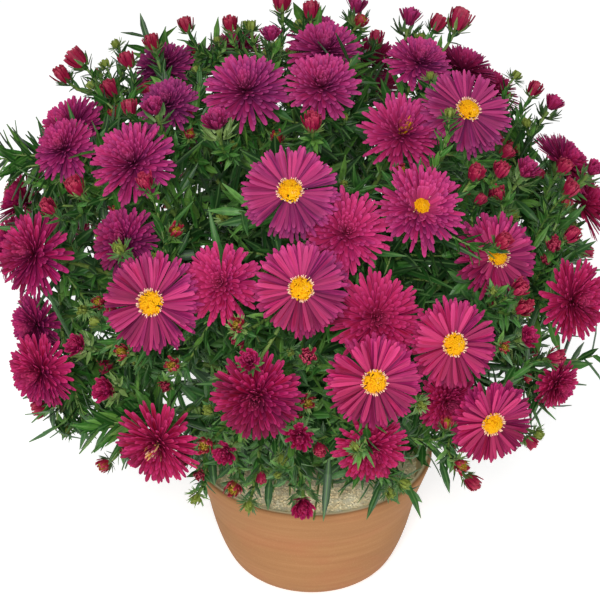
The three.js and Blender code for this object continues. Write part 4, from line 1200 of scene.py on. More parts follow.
# Buds that the solids leave out, by place in millimetres, width in millimetres, form and, where a
# bud stands in front of a bloom, the way it faces.
MORE_BUDS = (
    ((-120, 46, 276), 11, "brush"),
    ((-127, 40, 270), 9, "brush"),
    ((-103, 36, 264), 9, "brush"),
    ((-101, 55, 281), 7, "star"),
    ((64, 62, 289), 9, "brush"),
    ((75, 62, 291), 12, "brush"),
    ((88, 60, 276), 8, "brush"),
    ((94, 60, 277), 8, "eye"),
    ((-64, -100, 130), 9, "brush"),
    ((-91, -84, 176), 7, "star"),
    ((-34, -124, 212), 7, "brush"),
    ((-3, -139, 188), 8, "eye"),
    ((48, -143, 189), 7, "star"),
    ((60, -139, 177), 7, "eye", (0, 0, 1)),
    ((61, -72, 300), 7, "star", (0, 0, 1)),
    ((18, -158, 177), 6, "star", (-0.5, -0.35, 0.8)),
    ((84, -107, 253), 8, "brush", (0.5, -0.35, 0.8)),
    ((56, -9, 291), 6, "star", (0, 0, 1)),
)
SMALL_FORMS = ("star", "star", "brush", "eye")
# Widths of the small buds, in millimetres.
SMALL_BUD = (5.0, 8.5)
# The half-width and height of the dome that the small buds stand in, how low they go on it and how
# deep in it, and how far they stay from others; lengths in millimetres.
BUD_DOME = {"wide": 150, "high": 116, "low": -0.55, "depth": (0.78, 0.97), "apart": 11, "off_bloom": 5}
# How far inside the plant's box a small bud stays, and how far its facing may stray to the sides and up.
BUD_INSIDE = 8 * MM
BUD_STRAY = ((-0.4, 0.4), (-0.4, 0.4), (0, 0.7))
# How far a small bud's twig may reach, at least and at most, and for a bud that is named above; and
# how much farther out than the bud it may start.
TWIG_REACH = {"least": 14, "most": 48, "named": 80, "behind": -4}
# Small buds beside a large one: how many, where they leave its twig, how much they lean, how long
# their own twigs are, and how far they stay from others and from blooms; lengths in millimetres.
SIDE_BUDS = {"counts": (0, 1, 1, 2), "leave": (0.45, 0.85), "lean": (0.5, 1.0), "twig": (7, 13)}
SIDE_BUDS.update(apart=9, off_bloom=3)


def small_bud(place, facing, across, neck, fork, form):
    made = {"place": place, "facing": facing, "across": across}
    return {**made, "neck": neck, "fork": fork, "form": form}


def small_buds(stems, crowd, settings):
    """Small buds in the gaps among the blooms, each on a twig from the stalk that is nearest below."""
    rng = random.Random(settings.seed)
    taken = [bud["place"] for stem in stems for bud in stem.buds + stem.tufts]
    stalks = [(stalk["curve"], stem) for stem in stems for stalk in stem.stalks]
    forks = [(curve.at(t / 20), stem) for curve, stem in stalks for t in range(9, 20)]
    tree = tree_of([fork for fork, _ in forks])

    def clear(fork, neck, facing):
        curve, _ = twig_path(fork, neck, facing, 0)
        return not any(crowd.in_bloom(curve.at(t / 8)) for t in range(2, 9))

    def set_bud(place, out, across, form, reach, facing=None, named=False):
        near = tree.find_range(place, reach * MM)
        near = [forks[i] for _, i, away in near if away > TWIG_REACH["least"] * MM]
        near = [(fork, stem) for fork, stem in near if (place - fork).dot(out) > TWIG_REACH["behind"] * MM]
        if facing is None:
            facing = (out + Vector([rng.uniform(*stray) for stray in BUD_STRAY])).normalized()
        neck = place - facing * across * 0.5
        reached = [(fork, stem) for fork, stem in near if clear(fork, neck, facing)]
        if named and not reached:
            sights = (0.3, 0.6, 0.9)
            reached = [one for one in near if not any(crowd.in_bloom(one[0].lerp(neck, s)) for s in sights)]
        if not reached:
            return 0
        fork, stem = min(reached, key=lambda one: (one[0] - place).length)
        stem.small.append(small_bud(place, facing, across, neck, fork, form))
        taken.append(place)
        return 1

    for place, across, form, *faced in MORE_BUDS:
        place = Vector(place) * MM
        facing = Vector(faced[0]).normalized() if faced else None
        out = (place - DOME_CENTRE).normalized()
        set_bud(place, out, across * MM, form, TWIG_REACH["named"], facing, True)
    made = 0
    wide, high = BUD_DOME["wide"], BUD_DOME["high"]
    for _ in range(settings.tries):
        if made >= settings.count:
            break
        height = rng.uniform(BUD_DOME["low"], 1)
        around = rng.uniform(-math.pi, math.pi)
        out = polar(around, math.sqrt(1 - height * height), height)
        reach = rng.uniform(*BUD_DOME["depth"])
        place = DOME_CENTRE + Vector((out.x * wide, out.y * wide, out.z * high)) * MM * reach
        across = rng.uniform(*SMALL_BUD) * MM
        inside = crowd.in_bloom(place, BUD_DOME["off_bloom"] * MM) or crowd.in_pot(place)
        if inside or outside(place + out * BUD_INSIDE):
            continue
        if any((place - other).length < BUD_DOME["apart"] * MM for other in taken):
            continue
        made += set_bud(place, out, across, rng.choice(SMALL_FORMS), TWIG_REACH["most"])


def side_buds(stem, crowd, rng):
    """Small buds on short stalks beside the large ones, so that these stand in clusters."""
    for bud in stem.buds + stem.tufts:
        way = bud["neck"] - bud["fork"]
        for _ in range(rng.choice(SIDE_BUDS["counts"])):
            fork = bud["fork"] + way * rng.uniform(*SIDE_BUDS["leave"])
            side = Quaternion(bud["facing"], rng.uniform(-math.pi, math.pi)) @ level_across(bud["facing"])
            facing = (side * rng.uniform(*SIDE_BUDS["lean"]) + bud["facing"]).normalized()
            across = rng.uniform(*SMALL_BUD) * MM
            neck = fork + facing * (rng.uniform(*SIDE_BUDS["twig"]) * MM)
            place = neck + facing * across * 0.5
            if any((place - other["place"]).length < SIDE_BUDS["apart"] * MM for other in stem.small):
                continue
            inside = crowd.in_bloom(place, SIDE_BUDS["off_bloom"] * MM) or crowd.in_pot(place)
            if not inside and not outside(place + facing * across):
                stem.small.append(small_bud(place, facing, across, neck, fork, rng.choice(SMALL_FORMS)))


def bud_rows(buds, rng, tone):
    """Points that carry whole buds, whose own axes stand along the bud's facing."""
    rows = []
    for bud in buds:
        turned = frame_of(bud["place"], bud["facing"], rng.random() * ANY_TURN).to_3x3()
        kind, shade = rng.randrange(len(BLADE_LABELS)), rng.uniform(*tone)
        size = (bud["across"],) * 3
        rows.append((bud["place"], turned.to_euler("XYZ"), size, kind, shade, 0.0, 0.0, rng.random() * STREAKS))
    return rows


def whorl(kit, at, size, blade_, paint, **values):
    """A whorl of blades as large as a size says, standing where a bloom or bud stands.

    A pair gives the outermost and the innermost blade. Tilts are in degrees above the level, and
    lengths, root radii and root heights are shares of the size.
    """
    given = {"blade": blade_, "material": kit.paint[paint]}
    for label, value in values.items():
        if label == "tilt":
            value = tuple(math.radians(part) for part in value)
        elif label in ("length", "root_radius", "root_height"):
            value = tuple(part * size for part in value)
        if isinstance(value, tuple):
            given["first_" + label], given["last_" + label] = value
        else:
            given[label] = value
    mesh = grown(kit.whorl, **given)
    if at:
        mesh.transform(frame_of(at["place"], at["facing"]))
    return mesh


def double_petals(kit, bloom, settings, **common):
    """Petals of a double bloom: long flat ones outside, short upright ones round the middle."""
    rng = random.Random(common["seed"])
    width = settings.petal_width * MM
    form = {"count": round(settings.double_petals * rng.uniform(0.85, 1.1))}
    form.update(width=(width * rng.uniform(0.9, 1.1), width * 0.75), thickness=2.4 * MM)
    form.update(spread=rng.uniform(0.07, 0.12), fullness=rng.uniform(0.62, 0.78))
    form.update(uneven=rng.uniform(0.04, 0.08), sway=0.08, scatter=0.12)
    form.update(tilt=(rng.uniform(-8, 0), rng.uniform(76, 88)), length=(0.92, rng.uniform(0.3, 0.4)))
    form.update(root_radius=(0.1, 0.02), root_height=(-0.08, 0.08), curl=(rng.uniform(-0.1, 0.0), 0.16))
    return whorl(kit, bloom, bloom["radius"], kit.petal, "petal", **form, **common)


RING_FLORET = 0.42 * MM
# How many more petals an open bloom has that is nearly closed.
CLOSED_MORE = 70


def open_petals(kit, bloom, settings, seed, **tones):
    """Rays in several close rows round a disc, with a low ring of pale florets at its edge."""
    closed = CLOSING.get(bloom["node"], 0.0)
    width = settings.petal_width * MM
    form = {"count": settings.open_petals + round(closed * CLOSED_MORE), "seed": seed}
    form.update(width=(width * 0.92, width * 0.8), thickness=2.2 * MM, curl=(-0.05, 0.03))
    form.update(spread=0.08, uneven=0.1, sway=0.1, scatter=0.25)
    form.update(tilt=(-6, mix(9, 60, closed)), length=(0.84, mix(0.68, 0.34, closed)))
    form.update(root_radius=(0.14, mix(0.19, 0.14, closed)), root_height=(-0.04, 0.07))
    rays = whorl(kit, bloom, bloom["radius"], kit.petal, "petal", **form, **tones)
    form = {"count": 58, "seed": seed, "spread": 0.12, "uneven": 0.2, "sway": 0.1, "shade": 1.2}
    form.update(width=(RING_FLORET, RING_FLORET), thickness=RING_FLORET, tilt=(24, 56))
    form.update(length=(0.1, 0.1), root_radius=(0.215, 0.205), root_height=(0.09, 0.12))
    return [rays, whorl(kit, bloom, bloom["radius"], kit.floret, "floret", **form)]


# How far an open bloom's inner rays close over its disc.
CLOSING = {"bloom_20": 1.0, "bloom_27": 0.4}
# Double blooms that show a small heart of florets.
HEARTS = {"bloom_18": 0.5, "bloom_10": 0.9}


def small_heart(kit, bloom, seed, shade):
    """A few upright florets in the middle of a double bloom."""
    form = {"spread": 0.2, "fullness": 0.5, "uneven": 0.3, "sway": 0.1}
    form.update(width=(0.9 * MM, 0.9 * MM), thickness=0.8 * MM, tilt=(76, 89), length=(0.46, 0.5))
    form.update(root_radius=(0.08, 0.0), root_height=(0.0, 0.05))
    return whorl(kit, bloom, bloom["radius"], kit.petal, "floret", count=22, seed=seed, shade=shade, **form)


def listed(table, node, usual):
    """The value under which a table lists a node, or else the usual one."""
    return next((value for value, nodes in table.items() if node in nodes), usual)


# Shades and light of the blooms that SHADES and LIGHTS don't name.
USUAL = {"open": {"shade": (0.4, 0.62), "light": 0.27}, "double": {"shade": (0.25, 0.6), "light": 0.5}}


def add_blooms(kit, blooms, settings):
    """Petals of every bloom, as one piece for each of the solids' blooms and groups."""
    rng = random.Random(settings.seed)
    for node in dict.fromkeys(bloom["node"] for bloom in blooms):
        meshes = []
        for bloom in (bloom for bloom in blooms if bloom["node"] == node):
            usual = USUAL[bloom["form"]]
            tones = {"seed": rng.randrange(SEEDS)}
            tones["shade"] = listed(SHADES, node, rng.uniform(*usual["shade"]))
            tones["light"] = listed(LIGHTS, node, usual["light"])
            if bloom["form"] == "open":
                meshes += open_petals(kit, bloom, settings, **tones)
                continue
            meshes.append(double_petals(kit, bloom, settings, **tones))
            if node in HEARTS:
                meshes.append(small_heart(kit, bloom, tones["seed"], HEARTS[node]))
        add_piece(node + "_petals", meshes, "petal", node)


# Blooms that are redder or more violet than the rest, and lighter or darker.
SHADES = {
    0.15: ("bloom_10", "bloom_24", "bloom_28", "bloom_30", "bloom_31"),
    0.62: ("bloom_01", "bloom_02", "bloom_07", "bloom_12", "bloom_15", "bloom_22"),
    0.85: ("bloom_05", "bloom_13", "bloom_14", "bloom_33"),
}
LIGHTS = {
    0.22: ("bloom_07", "bloom_11", "bloom_13", "bloom_14", "bloom_19", "bloom_27"),
    0.34: ("bloom_04", "bloom_30"),
    0.3: ("bloom_25", "bloom_29"),
    0.5: ("bloom_20",),
    0.72: ("bloom_09", "bloom_18", "bloom_21", "bloom_24", "bloom_33"),
}


# How large the disc of a bloom is that is nearly closed, against an open one's.
CLOSED_DISC = 0.72


def add_discs(kit, blooms, settings):
    """The yellow heart of each open bloom: a dome of small florets round a core of large ones."""
    rng = random.Random(settings.seed)
    for bloom in (bloom for bloom in blooms if bloom["form"] == "open"):
        size = bloom["radius"] * mix(1.0, CLOSED_DISC, CLOSING.get(bloom["node"], 0.0))
        given = (kit, bloom, size, kit.floret, "floret")
        common = {"fullness": 0.5, "sway": 0.0, "seed": rng.randrange(SEEDS)}
        form = {"count": settings.florets, "spread": 0.04, "uneven": 0.05, "tilt": (36, 90)}
        form.update(width=(1.0 * MM, 0.9 * MM), thickness=1.0 * MM, length=(1.4 * MM / size, 1.2 * MM / size))
        florets = whorl(*given, root_radius=(0.215, 0.0), root_height=(0.06, 0.28), **form, **common)
        form = {"count": 14, "spread": 0.0, "uneven": 0.0, "shade": 0.1, "tilt": (70, 90)}
        form.update(width=(3.2 * MM, 4.2 * MM), thickness=3.2 * MM, length=(0.23, 0.25))
        core = whorl(*given, root_radius=(0.13, 0.0), root_height=(-0.02, 0.06), **form, **common)
        disc = bloom["node"].replace("bloom", "disc")
        add_piece(disc + "_florets", [florets, core], "disc", disc)


def cup_bracts(kit, bloom, seed):
    """The green cup under a bloom, of narrow bracts."""
    form = {"spread": 0.15, "uneven": 0.15, "sway": 0.05, "shade": 0.4}
    form.update(width=(2.2 * MM, 1.8 * MM), thickness=1.2 * MM, tilt=(-5, 38), length=(0.3, 0.42))
    form.update(root_radius=(0.1, 0.14), root_height=(-0.42, -0.26), curl=(0.1, 0.1))
    return whorl(kit, bloom, bloom["radius"], kit.bract, "bract", count=26, seed=seed, **form)


# How far along a bud is: a brush of petals, an eye with a ring of petals round it, or a green star;
# with the shades that its petals may have.
BUD_FORMS = {"brush": (0.6, 0.95), "eye": (0.34, 0.4), "star": (0.05, 0.18)}
# The calyx and the heart of each form at unit width, with the values that BUD_PART_FIELDS names.
BUD_PARTS = {
    ("brush", "calyx"): (20, 0.17, (18, 66), (0.6, 0.5), (0.12, 0.36), (-0.62, -0.38), (0.1, 0.2)),
    ("brush", "heart"): (44, 0.2, (60, 88), (0.8, 0.8), (0.34, 0.02), (-0.42, -0.28), (0.36, 0.04)),
    ("eye", "calyx"): (22, 0.15, (6, 60), (0.6, 0.5), (0.14, 0.34), (-0.5, -0.32), (0.05, 0.2)),
    ("eye", "heart"): (34, 0.19, (50, 87), (0.6, 0.42), (0.3, 0.02), (-0.3, -0.2), (0.5, 0.02)),
    ("star", "calyx"): (24, 0.14, (-4, 48), (0.66, 0.5), (0.14, 0.3), (-0.42, -0.26), (0.0, 0.15)),
    ("star", "heart"): (24, 0.17, (58, 88), (0.46, 0.4), (0.26, 0.02), (-0.3, -0.16), (0.4, 0.02)),
}
BUD_PART_FIELDS = ("count", "width", "tilt", "length", "root_radius", "root_height", "curl")
BUD_SEEDS = (40, 41, 42)


def bud_shapes(kit, form):
    """Three calyces and three hearts, of unit width, of one form of bud."""
    common = {"spread": 0.08, "uneven": 0.08, "sway": 0.06, "fullness": 0.75, "thickness": 0.14}
    made = []
    for part, blade_, paint in (("calyx", kit.bract, "bract"), ("heart", kit.bud_petal, "bud")):
        values = dict(zip(BUD_PART_FIELDS, BUD_PARTS[form, part]))
        values["width"] = (values["width"], values["width"] * 0.9)
        shapes = []
        for seed in BUD_SEEDS:
            mesh = whorl(kit, None, 1.0, blade_, paint, seed=seed, **common, **values)
            # Without its own shade, a bud takes that of the point it is set on.
            mesh.attributes.remove(mesh.attributes["shade"])
            shapes.append(kit.keep(mesh))
        made.append(shapes)
    return made


def tuft_petals(kit, tuft, seed):
    """The crimson petals of a bud that is just opening."""
    form = {"spread": 0.1, "fullness": 0.75, "uneven": 0.08, "sway": 0.08, "shade": 0.22}
    form.update(width=(1.9 * MM, 1.6 * MM), thickness=2.0 * MM, tilt=(44, 88), length=(1.25, 1.2))
    form.update(root_radius=(0.2, 0.03), root_height=(-0.35, -0.2), curl=(0.12, 0.03))
    return whorl(kit, tuft, tuft["across"] / 2, kit.petal, "petal", count=60, seed=seed, **form)


# The forms of the solids' buds that aren't brushes, by stem and number.
OWN_FORMS = {
    **dict.fromkeys(((5, 3), (5, 5), (5, 6), (5, 10), (5, 11), (5, 12), (6, 1)), "eye"),
    **dict.fromkeys(((0, 1), (1, 3), (4, 4), (5, 2), (5, 4), (5, 8), (5, 9), (6, 3), (6, 5)), "star"),
}


def set_blades(kit, rows, shapes, material):
    given = {label.lower().replace(" ", "_"): shape_ for label, shape_ in zip(BLADE_LABELS, shapes)}
    return grown(kit.blades, points_mesh(rows), material=kit.paint[material], **given)


def bud_twig(bud):
    """A bud's twig and its path, which ends as a green knob in the bud."""
    thick = (1.0 if bud["across"] > LARGE_BUD else 0.65) * MM
    curve, path = twig_path(bud["fork"], bud["neck"], bud["facing"], thick)
    return curve, path + [(bud["place"] - bud["facing"] * bud["across"] * 0.3, path[-1][1] * 1.6)]


# Buds wider than this have a thicker twig.
LARGE_BUD = 8 * MM
# How much is bare at the foot and at the tip of each kind of stalk, how close leaves stand on twigs
# and shoots, and how the leaves of twigs differ.
TRUNK_BARE = (12 * MM, 0)
STALK_BARE = (8 * MM, 3 * MM)
TWIG_BARE = (3 * MM, MM)
SHOOT_BARE = (4 * MM, 0)
TWIG_SPACING = 1.25 * MM
SHOOT_SPACING = 2.8 * MM
# How long the leaves of the stems themselves are, and those of twigs, against the usual length.
TRUNK_LEAF = 1.2
TWIG_LEAF = 0.5
TWIG_LEAVES = {"tip_share": 0.65, "breadth": 0.31, "lean": (22, 58)}


def add_stems(kit, stems, crowd, leaves, buds):
    """Stalks, leaves and buds, as one green piece and one crimson piece for each leafy stem."""
    shapes = {form: bud_shapes(kit, form) for form in BUD_FORMS}
    small_buds(stems, crowd, buds)
    extra = gap_shoots(stems, crowd, leaves.seed)
    long, spacing = leaves.length * MM, leaves.spacing * MM
    for stem in stems:
        rng = random.Random(leaves.seed + stem.index)
        for i, bud in enumerate(stem.buds):
            bud["form"] = OWN_FORMS.get((stem.index, i), "brush")
        side_buds(stem, crowd, rng)
        blades, paths, greens = list(stem.leaves), [trunk_path(stem.index)], []
        blades += stalk_leaves(stem.curve, 60, TRUNK_BARE, spacing, long * TRUNK_LEAF, rng, crowd, 0.8)
        for stalk in stem.stalks:
            paths.append(stalk_path(stalk))
            blades += stalk_leaves(stalk["curve"], 40, STALK_BARE, spacing, long, rng, crowd)
            greens.append(cup_bracts(kit, stalk["bloom"], rng.randrange(SEEDS)))
        for curve, path in map(bud_twig, stem.buds + stem.tufts + stem.small):
            paths.append(path)
            small = long * TWIG_LEAF
            blades += stalk_leaves(curve, 20, TWIG_BARE, TWIG_SPACING, small, rng, crowd, **TWIG_LEAVES)
        for curve, path in leafy_shoots(stem, crowd, leaves, rng) + extra[stem]:
            paths.append(path)
            blades += stalk_leaves(curve, 20, SHOOT_BARE, SHOOT_SPACING, long, rng, crowd, 0.7)
        greens.append(set_blades(kit, blade_rows(blades, rng), kit.leaves, "leaf"))
        greens.append(grown(kit.tube, path_mesh(paths), sides=7, material=kit.paint["stalk"]))
        reds = [tuft_petals(kit, tuft, rng.randrange(SEEDS)) for tuft in stem.tufts]
        for form, (calyx, heart) in shapes.items():
            own = [bud for bud in stem.buds + stem.small if bud["form"] == form]
            cups = own + stem.tufts if form == "brush" else own
            if cups:
                greens.append(set_blades(kit, bud_rows(cups, rng, (0.2, 0.9)), calyx, "bract"))
            if own:
                reds.append(set_blades(kit, bud_rows(own, rng, BUD_FORMS[form]), heart, "bud"))
        add_piece(stem.node + "_green", greens, "leaf", stem.node)
        add_piece(stem.node + "_bud_tips", reds, "petal", stem.node)


# Ends of more leafy shoots, in millimetres, where the plant would be thin.
GAP_SHOOTS = (
    (-117, -6, 159), (-122, -13, 154), (-110, -3, 163), (-110, -60, 161), (-115, -56, 152), (-105, -68, 148),
    (-88, -61, 152), (-81, -52, 142), (-76, -53, 150), (-117, -87, 147), (-110, -91, 147), (-94, -113, 165),
    (-88, -113, 173), (-97, -116, 161), (-61, -29, 231), (-62, 97, 169), (-146, -19, 256), (-138, -23, 250),
    (-151, -6, 231), (-130, -28, 241), (-128, -80, 151), (57, 62, 141), (66, 4, 168), (73, 2, 189),
    (54, -119, 163), (94, -35, 164), (108, -31, 179), (113, -59, 178), (120, 8, 192), (119, -53, 214),
    (135, -54, 155), (110, -60, 138), (117, -56, 136),
)


# How many shoots go to each of these places, how far they may miss it, and how near the stalk may be
# that they come from, in millimetres.
GAP_SHOOT = {"count": 3, "miss": 7, "near": 15}
# Where low shoots leave a stem, how far they turn from its own bearing, and how far out and up they
# go in millimetres; and where the other shoots leave a stalk, how far they follow it and their length.
LOW_SHOOT = {"leave": (0.04, 0.5), "turn": 1.1, "out": (24, 62), "up": (-16, 24)}
SIDE_SHOOT = {"leave": (0.25, 0.92), "follow": (0.1, 1.0), "long": (18, 42)}
# Tries for each shoot that is wanted, and how far over the soil a shoot has to end.
SHOOT_TRIES = 8
SHOOT_OVER_SOIL = 11 * MM


def gap_shoots(stems, crowd, seed):
    """Leafy shoots into thin places, each from the stalk that is nearest, by stem."""
    rng = random.Random(seed)
    forks = [(stalk["curve"].at(t / 20), stem) for stem in stems for stalk in stem.stalks for t in range(5, 20)]
    made = {stem: [] for stem in stems}
    miss = GAP_SHOOT["miss"]
    for place in GAP_SHOOTS:
        for _ in range(GAP_SHOOT["count"]):
            end = (Vector(place) + Vector([rng.uniform(-miss, miss) for _ in range(3)])) * MM
            far = [one for one in forks if (one[0] - end).length > GAP_SHOOT["near"] * MM]
            fork, stem = min(far, key=lambda one: (one[0] - end).length)
            add_shoot(made[stem], fork, end, UP * 0.3, crowd)
    return made


def leafy_shoots(stem, crowd, settings, rng):
    """Leafy shoots without a bud: low ones that lean out over the rim, and others off the stalks."""
    made = []
    bearing = (stem.index - 1) * FULL_TURN / SIDE_STEMS
    turn = LOW_SHOOT["turn"]
    for _ in range(settings.low_shoots * SHOOT_TRIES):
        if len(made) >= settings.low_shoots:
            break
        fork = stem.curve.at(rng.uniform(*LOW_SHOOT["leave"]))
        way = bearing + rng.uniform(-turn, turn) if stem.index else rng.uniform(-math.pi, math.pi)
        out = polar(way, rng.uniform(*LOW_SHOOT["out"]) * MM, rng.uniform(*LOW_SHOOT["up"]) * MM)
        add_shoot(made, fork, fork + out, UP * 0.6, crowd)
    low = len(made)
    for _ in range(settings.shoots * SHOOT_TRIES):
        if len(made) - low >= settings.shoots:
            break
        curve = rng.choice(stem.stalks)["curve"]
        share = rng.uniform(*SIDE_SHOOT["leave"])
        fork, tangent = curve.at(share), curve.heading(share)
        side = Quaternion(tangent, rng.uniform(-math.pi, math.pi)) @ level_across(tangent)
        out = (side + tangent * rng.uniform(*SIDE_SHOOT["follow"])).normalized()
        end = fork + out * (rng.uniform(*SIDE_SHOOT["long"]) * MM)
        add_shoot(made, fork, end, tangent * 0.6, crowd)
    return made


def add_shoot(made, fork, end, rise, crowd):
    """Adds a shoot from a fork to an end if its way there is clear."""
    if crowd.in_bloom(end, 2 * MM) or crowd.in_pot(end) or outside(end) or end.z < SOIL_TOP + SHOOT_OVER_SOIL:
        return
    way = end - fork
    heading = way.normalized()
    curve = Bezier(fork, fork + (heading + rise) * (0.35 * way.length), end - way * 0.3, end)
    if not any(crowd.in_pot(curve.at(t / 8)) or crowd.in_bloom(curve.at(t / 8)) for t in range(3, 9)):
        made.append((curve, tapered(curve, 6, 0.7 * MM, 0.4 * MM)))


def quadratic(a, b, c, steps):
    """Points along an arc from a to c that b draws out, without a itself."""
    shares = [i / steps for i in range(1, steps + 1)]
    return [tuple(mix(mix(a[k], b[k], t), mix(b[k], c[k], t), t) for k in range(2)) for t in shares]


def straight(a, b, shares):
    """Points between a and b."""
    return [tuple(mix(a[k], b[k], t) for k in range(2)) for t in shares]


def pot_profile():
    """The bowl's outline in millimetres, up the outside and down the inside, and where it turns in."""
    rest, foot, foot_height = POT["foot"]
    shoulder, (rim, top), floor = POT["shoulder"], POT["rim"], POT["floor"]
    inner_rim = rim - POT["wall"]
    outer = [(0, 0), (rest, 0)]
    outer += quadratic((rest, 0), (rest + 6.5, 2.6), (foot, foot_height), 6)
    outer += quadratic((foot, foot_height), (mix(foot, shoulder[0], 0.65), shoulder[1] / 2), shoulder, 12)
    outer += straight(shoulder, (rim, top - 1.6), (0.33, 0.66, 1))
    lip = [(rim - 0.1, top - 0.8), (rim - 0.5, top - 0.2), (rim - 1.2, top)]
    lip += [(inner_rim + 1.2, top), (inner_rim + 0.4, top - 0.3), (inner_rim, top - 1.2)]
    inside = (shoulder[0] - POT["wall"], shoulder[1])
    inner = straight((inner_rim, top - 1.2), inside, (0.5, 1))
    inner += quadratic(inside, (foot + 3, foot_height + 5.5), (rest - POT["wall"], floor), 8)
    return outer + lip + inner + [(0, floor)], len(outer) + 3


def ring_at(radius, height, sides):
    return [polar(FULL_TURN * k / sides, radius, height) for k in range(sides)]


def ringed(name, first, rings, last=None, attributes=None):
    """A round shape from a tip over rings of corners to a last tip, or to an open edge."""
    sides = len(rings[0])
    corners = [first] + [corner for ring in rings for corner in ring]
    edge = len(corners) - sides
    faces = []
    for k in range(sides):
        n = (k + 1) % sides
        faces.append((0, 1 + k, 1 + n))
        for low in range(1, edge, sides):
            faces.append((low + k, low + sides + k, low + sides + n, low + n))
        if last:
            faces.append((edge + k, edge + sides, edge + n))
    return shape(name, corners + ([last] if last else []), faces, attributes)


def add_pot(kit, settings):
    """The terracotta bowl, turned from its outline."""
    profile, turned = pot_profile()
    sides = settings.sides
    first, *rings, last = [ring_at(radius * MM, height * MM, sides) for radius, height in profile]
    inside = [0.0] + [float(s >= turned) for s in range(1, len(rings) + 1) for _ in range(sides)] + [1.0]
    mesh = ringed("pot", first[0], rings, last[0], {"inside": inside})
    mesh.materials.append(kit.paint["pot"])
    add_piece("terracotta_bowl", [mesh], "pot", "pot")


# Rings and sides of the soil's top, how wide it is against the solid, and how deep its bumps go.
SOIL = {"rings": 14, "sides": 48, "wide": 0.994, "bumps": 1.6 * MM}
# The filling under the top: heights from bottom to top, and how wide it is there.
SOIL_LEVELS = ((0.0, 37 / 58), (0.3, 50 / 58), (0.7, 56.5 / 58))


def add_soil(kit, settings):
    """Pale sandy soil: a bumpy top with grains, over a plain filling."""
    rng = random.Random(settings.seed)
    low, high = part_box("soil")
    count, sides = SOIL["rings"], SOIL["sides"]
    rings = [ring_at(high.x * SOIL["wide"] * r / count, high.z, sides) for r in range(1, count + 1)]
    for corner in (corner for ring in rings for corner in ring):
        corner.z += rng.uniform(-SOIL["bumps"], 0.0)
    top = ringed("soil", UP * (high.z - 2 * MM), rings)
    strewn = {"density": settings.density, "seed": settings.seed, "grain": kit.grain}
    grains = grown(kit.grains, top, material=kit.paint["soil"], **strewn)
    levels = [ring_at(high.x * wide, mix(low.z, high.z, level), sides) for level, wide in SOIL_LEVELS]
    levels.append([Vector((corner.x * 0.998, corner.y * 0.998, corner.z - 0.3 * MM)) for corner in rings[-1]])
    body = ringed("soil_body", UP * low.z, levels, UP * (high.z - 3 * MM))
    body.materials.append(kit.paint["soil"])
    add_piece("sandy_soil", [grains, body], "soil", "soil")


# Stage


# Each lamp's name, place, size and power.
LAMPS = (
    ("key_light", (-0.07, -1.12, 0.87), 0.3, 13.0),
    ("left_light", (-1.2, -1.0, 0.8), 0.8, 2.5),
    ("side_light", (1.5, -0.8, 1.0), 1.0, 2.5),
    ("top_light", (0.1, 0.7, 1.8), 1.4, 3.0),
)
FLOOR_REACH = 6.0
LAMP_AIM = Vector((0, 0, 0.17))
CAMERA_AIM = Vector((-6.4, 0, 161)) * MM
SENSOR_WIDTH = 36
WHITE = (1, 1, 1, 1)


def staged(name, data):
    """An object that belongs to the stage, not to the plant."""
    made = bpy.data.objects.new(name, data)
    bpy.context.scene.collection.objects.link(made)
    return made


def add_stage(settings):
    """A pale floor, soft light and the camera."""
    scene = bpy.context.scene
    scene.view_settings.view_transform = "Standard"
    floor = bpy.data.meshes.new("floor")
    corners = [(x * FLOOR_REACH, y * FLOOR_REACH, 0) for x, y in ((-1, -1), (1, -1), (1, 1), (-1, 1))]
    floor.from_pydata(corners, [], [(0, 1, 2, 3)])
    paint = Paint("floor", Base_Color=(0.85, 0.85, 0.85, 1), Roughness=0.9)
    paint.shader.inputs["Emission Color"].default_value = WHITE
    paint.shader.inputs["Emission Strength"].default_value = 0.5
    floor.materials.append(paint.material)
    staged("floor", floor)
    scene.world = bpy.data.worlds.new("sky")
    scene.world.use_nodes = True
    back = scene.world.node_tree.nodes["Background"].inputs
    back["Color"].default_value = WHITE
    back["Strength"].default_value = settings.sky
    for name, place, size, power in LAMPS:
        lamp = bpy.data.lights.new(name, "AREA")
        lamp.size = size
        lamp.energy = power
        made = staged(name, lamp)
        made.location = place
        made.rotation_euler = (LAMP_AIM - Vector(place)).to_track_quat("-Z", "Y").to_euler()
    eye = bpy.data.cameras.new("camera")
    eye.lens = settings.lens
    eye.sensor_width = SENSOR_WIDTH
    camera = bpy.data.objects.new("camera", eye)
    pitch = math.radians(settings.pitch)
    camera.location = CAMERA_AIM + Vector((0, -math.cos(pitch), math.sin(pitch))) * settings.distance
    camera.rotation_euler = (math.pi / 2 - pitch, 0, 0)
    scene.collection.objects.link(camera)
    scene.camera = camera


# The add-on


class AsterPotSettings(bpy.types.PropertyGroup):
    """How round the bowl is."""

    sides: IntProperty(name="Sides", description="Faces round the bowl", default=96, min=24)


class AsterSoilSettings(bpy.types.PropertyGroup):
    """The soil's grain."""

    density: FloatProperty(name="Density", description="Grains per square metre", default=400000.0)
    seed: IntProperty(name="Seed", description="Which way the soil falls", default=4)


class AsterBloomSettings(bpy.types.PropertyGroup):
    """How full the blooms are."""

    double_petals: IntProperty(name="Double Petals", description="Petals of a double bloom", default=220)
    open_petals: IntProperty(name="Open Petals", description="Petals of an open bloom", default=184)
    petal_width: FloatProperty(name="Petal Width", description="In millimetres", default=2.2)
    florets: IntProperty(name="Florets", description="Florets in the heart of an open bloom", default=210)
    seed: IntProperty(name="Seed", description="Which way the petals fall", default=21)


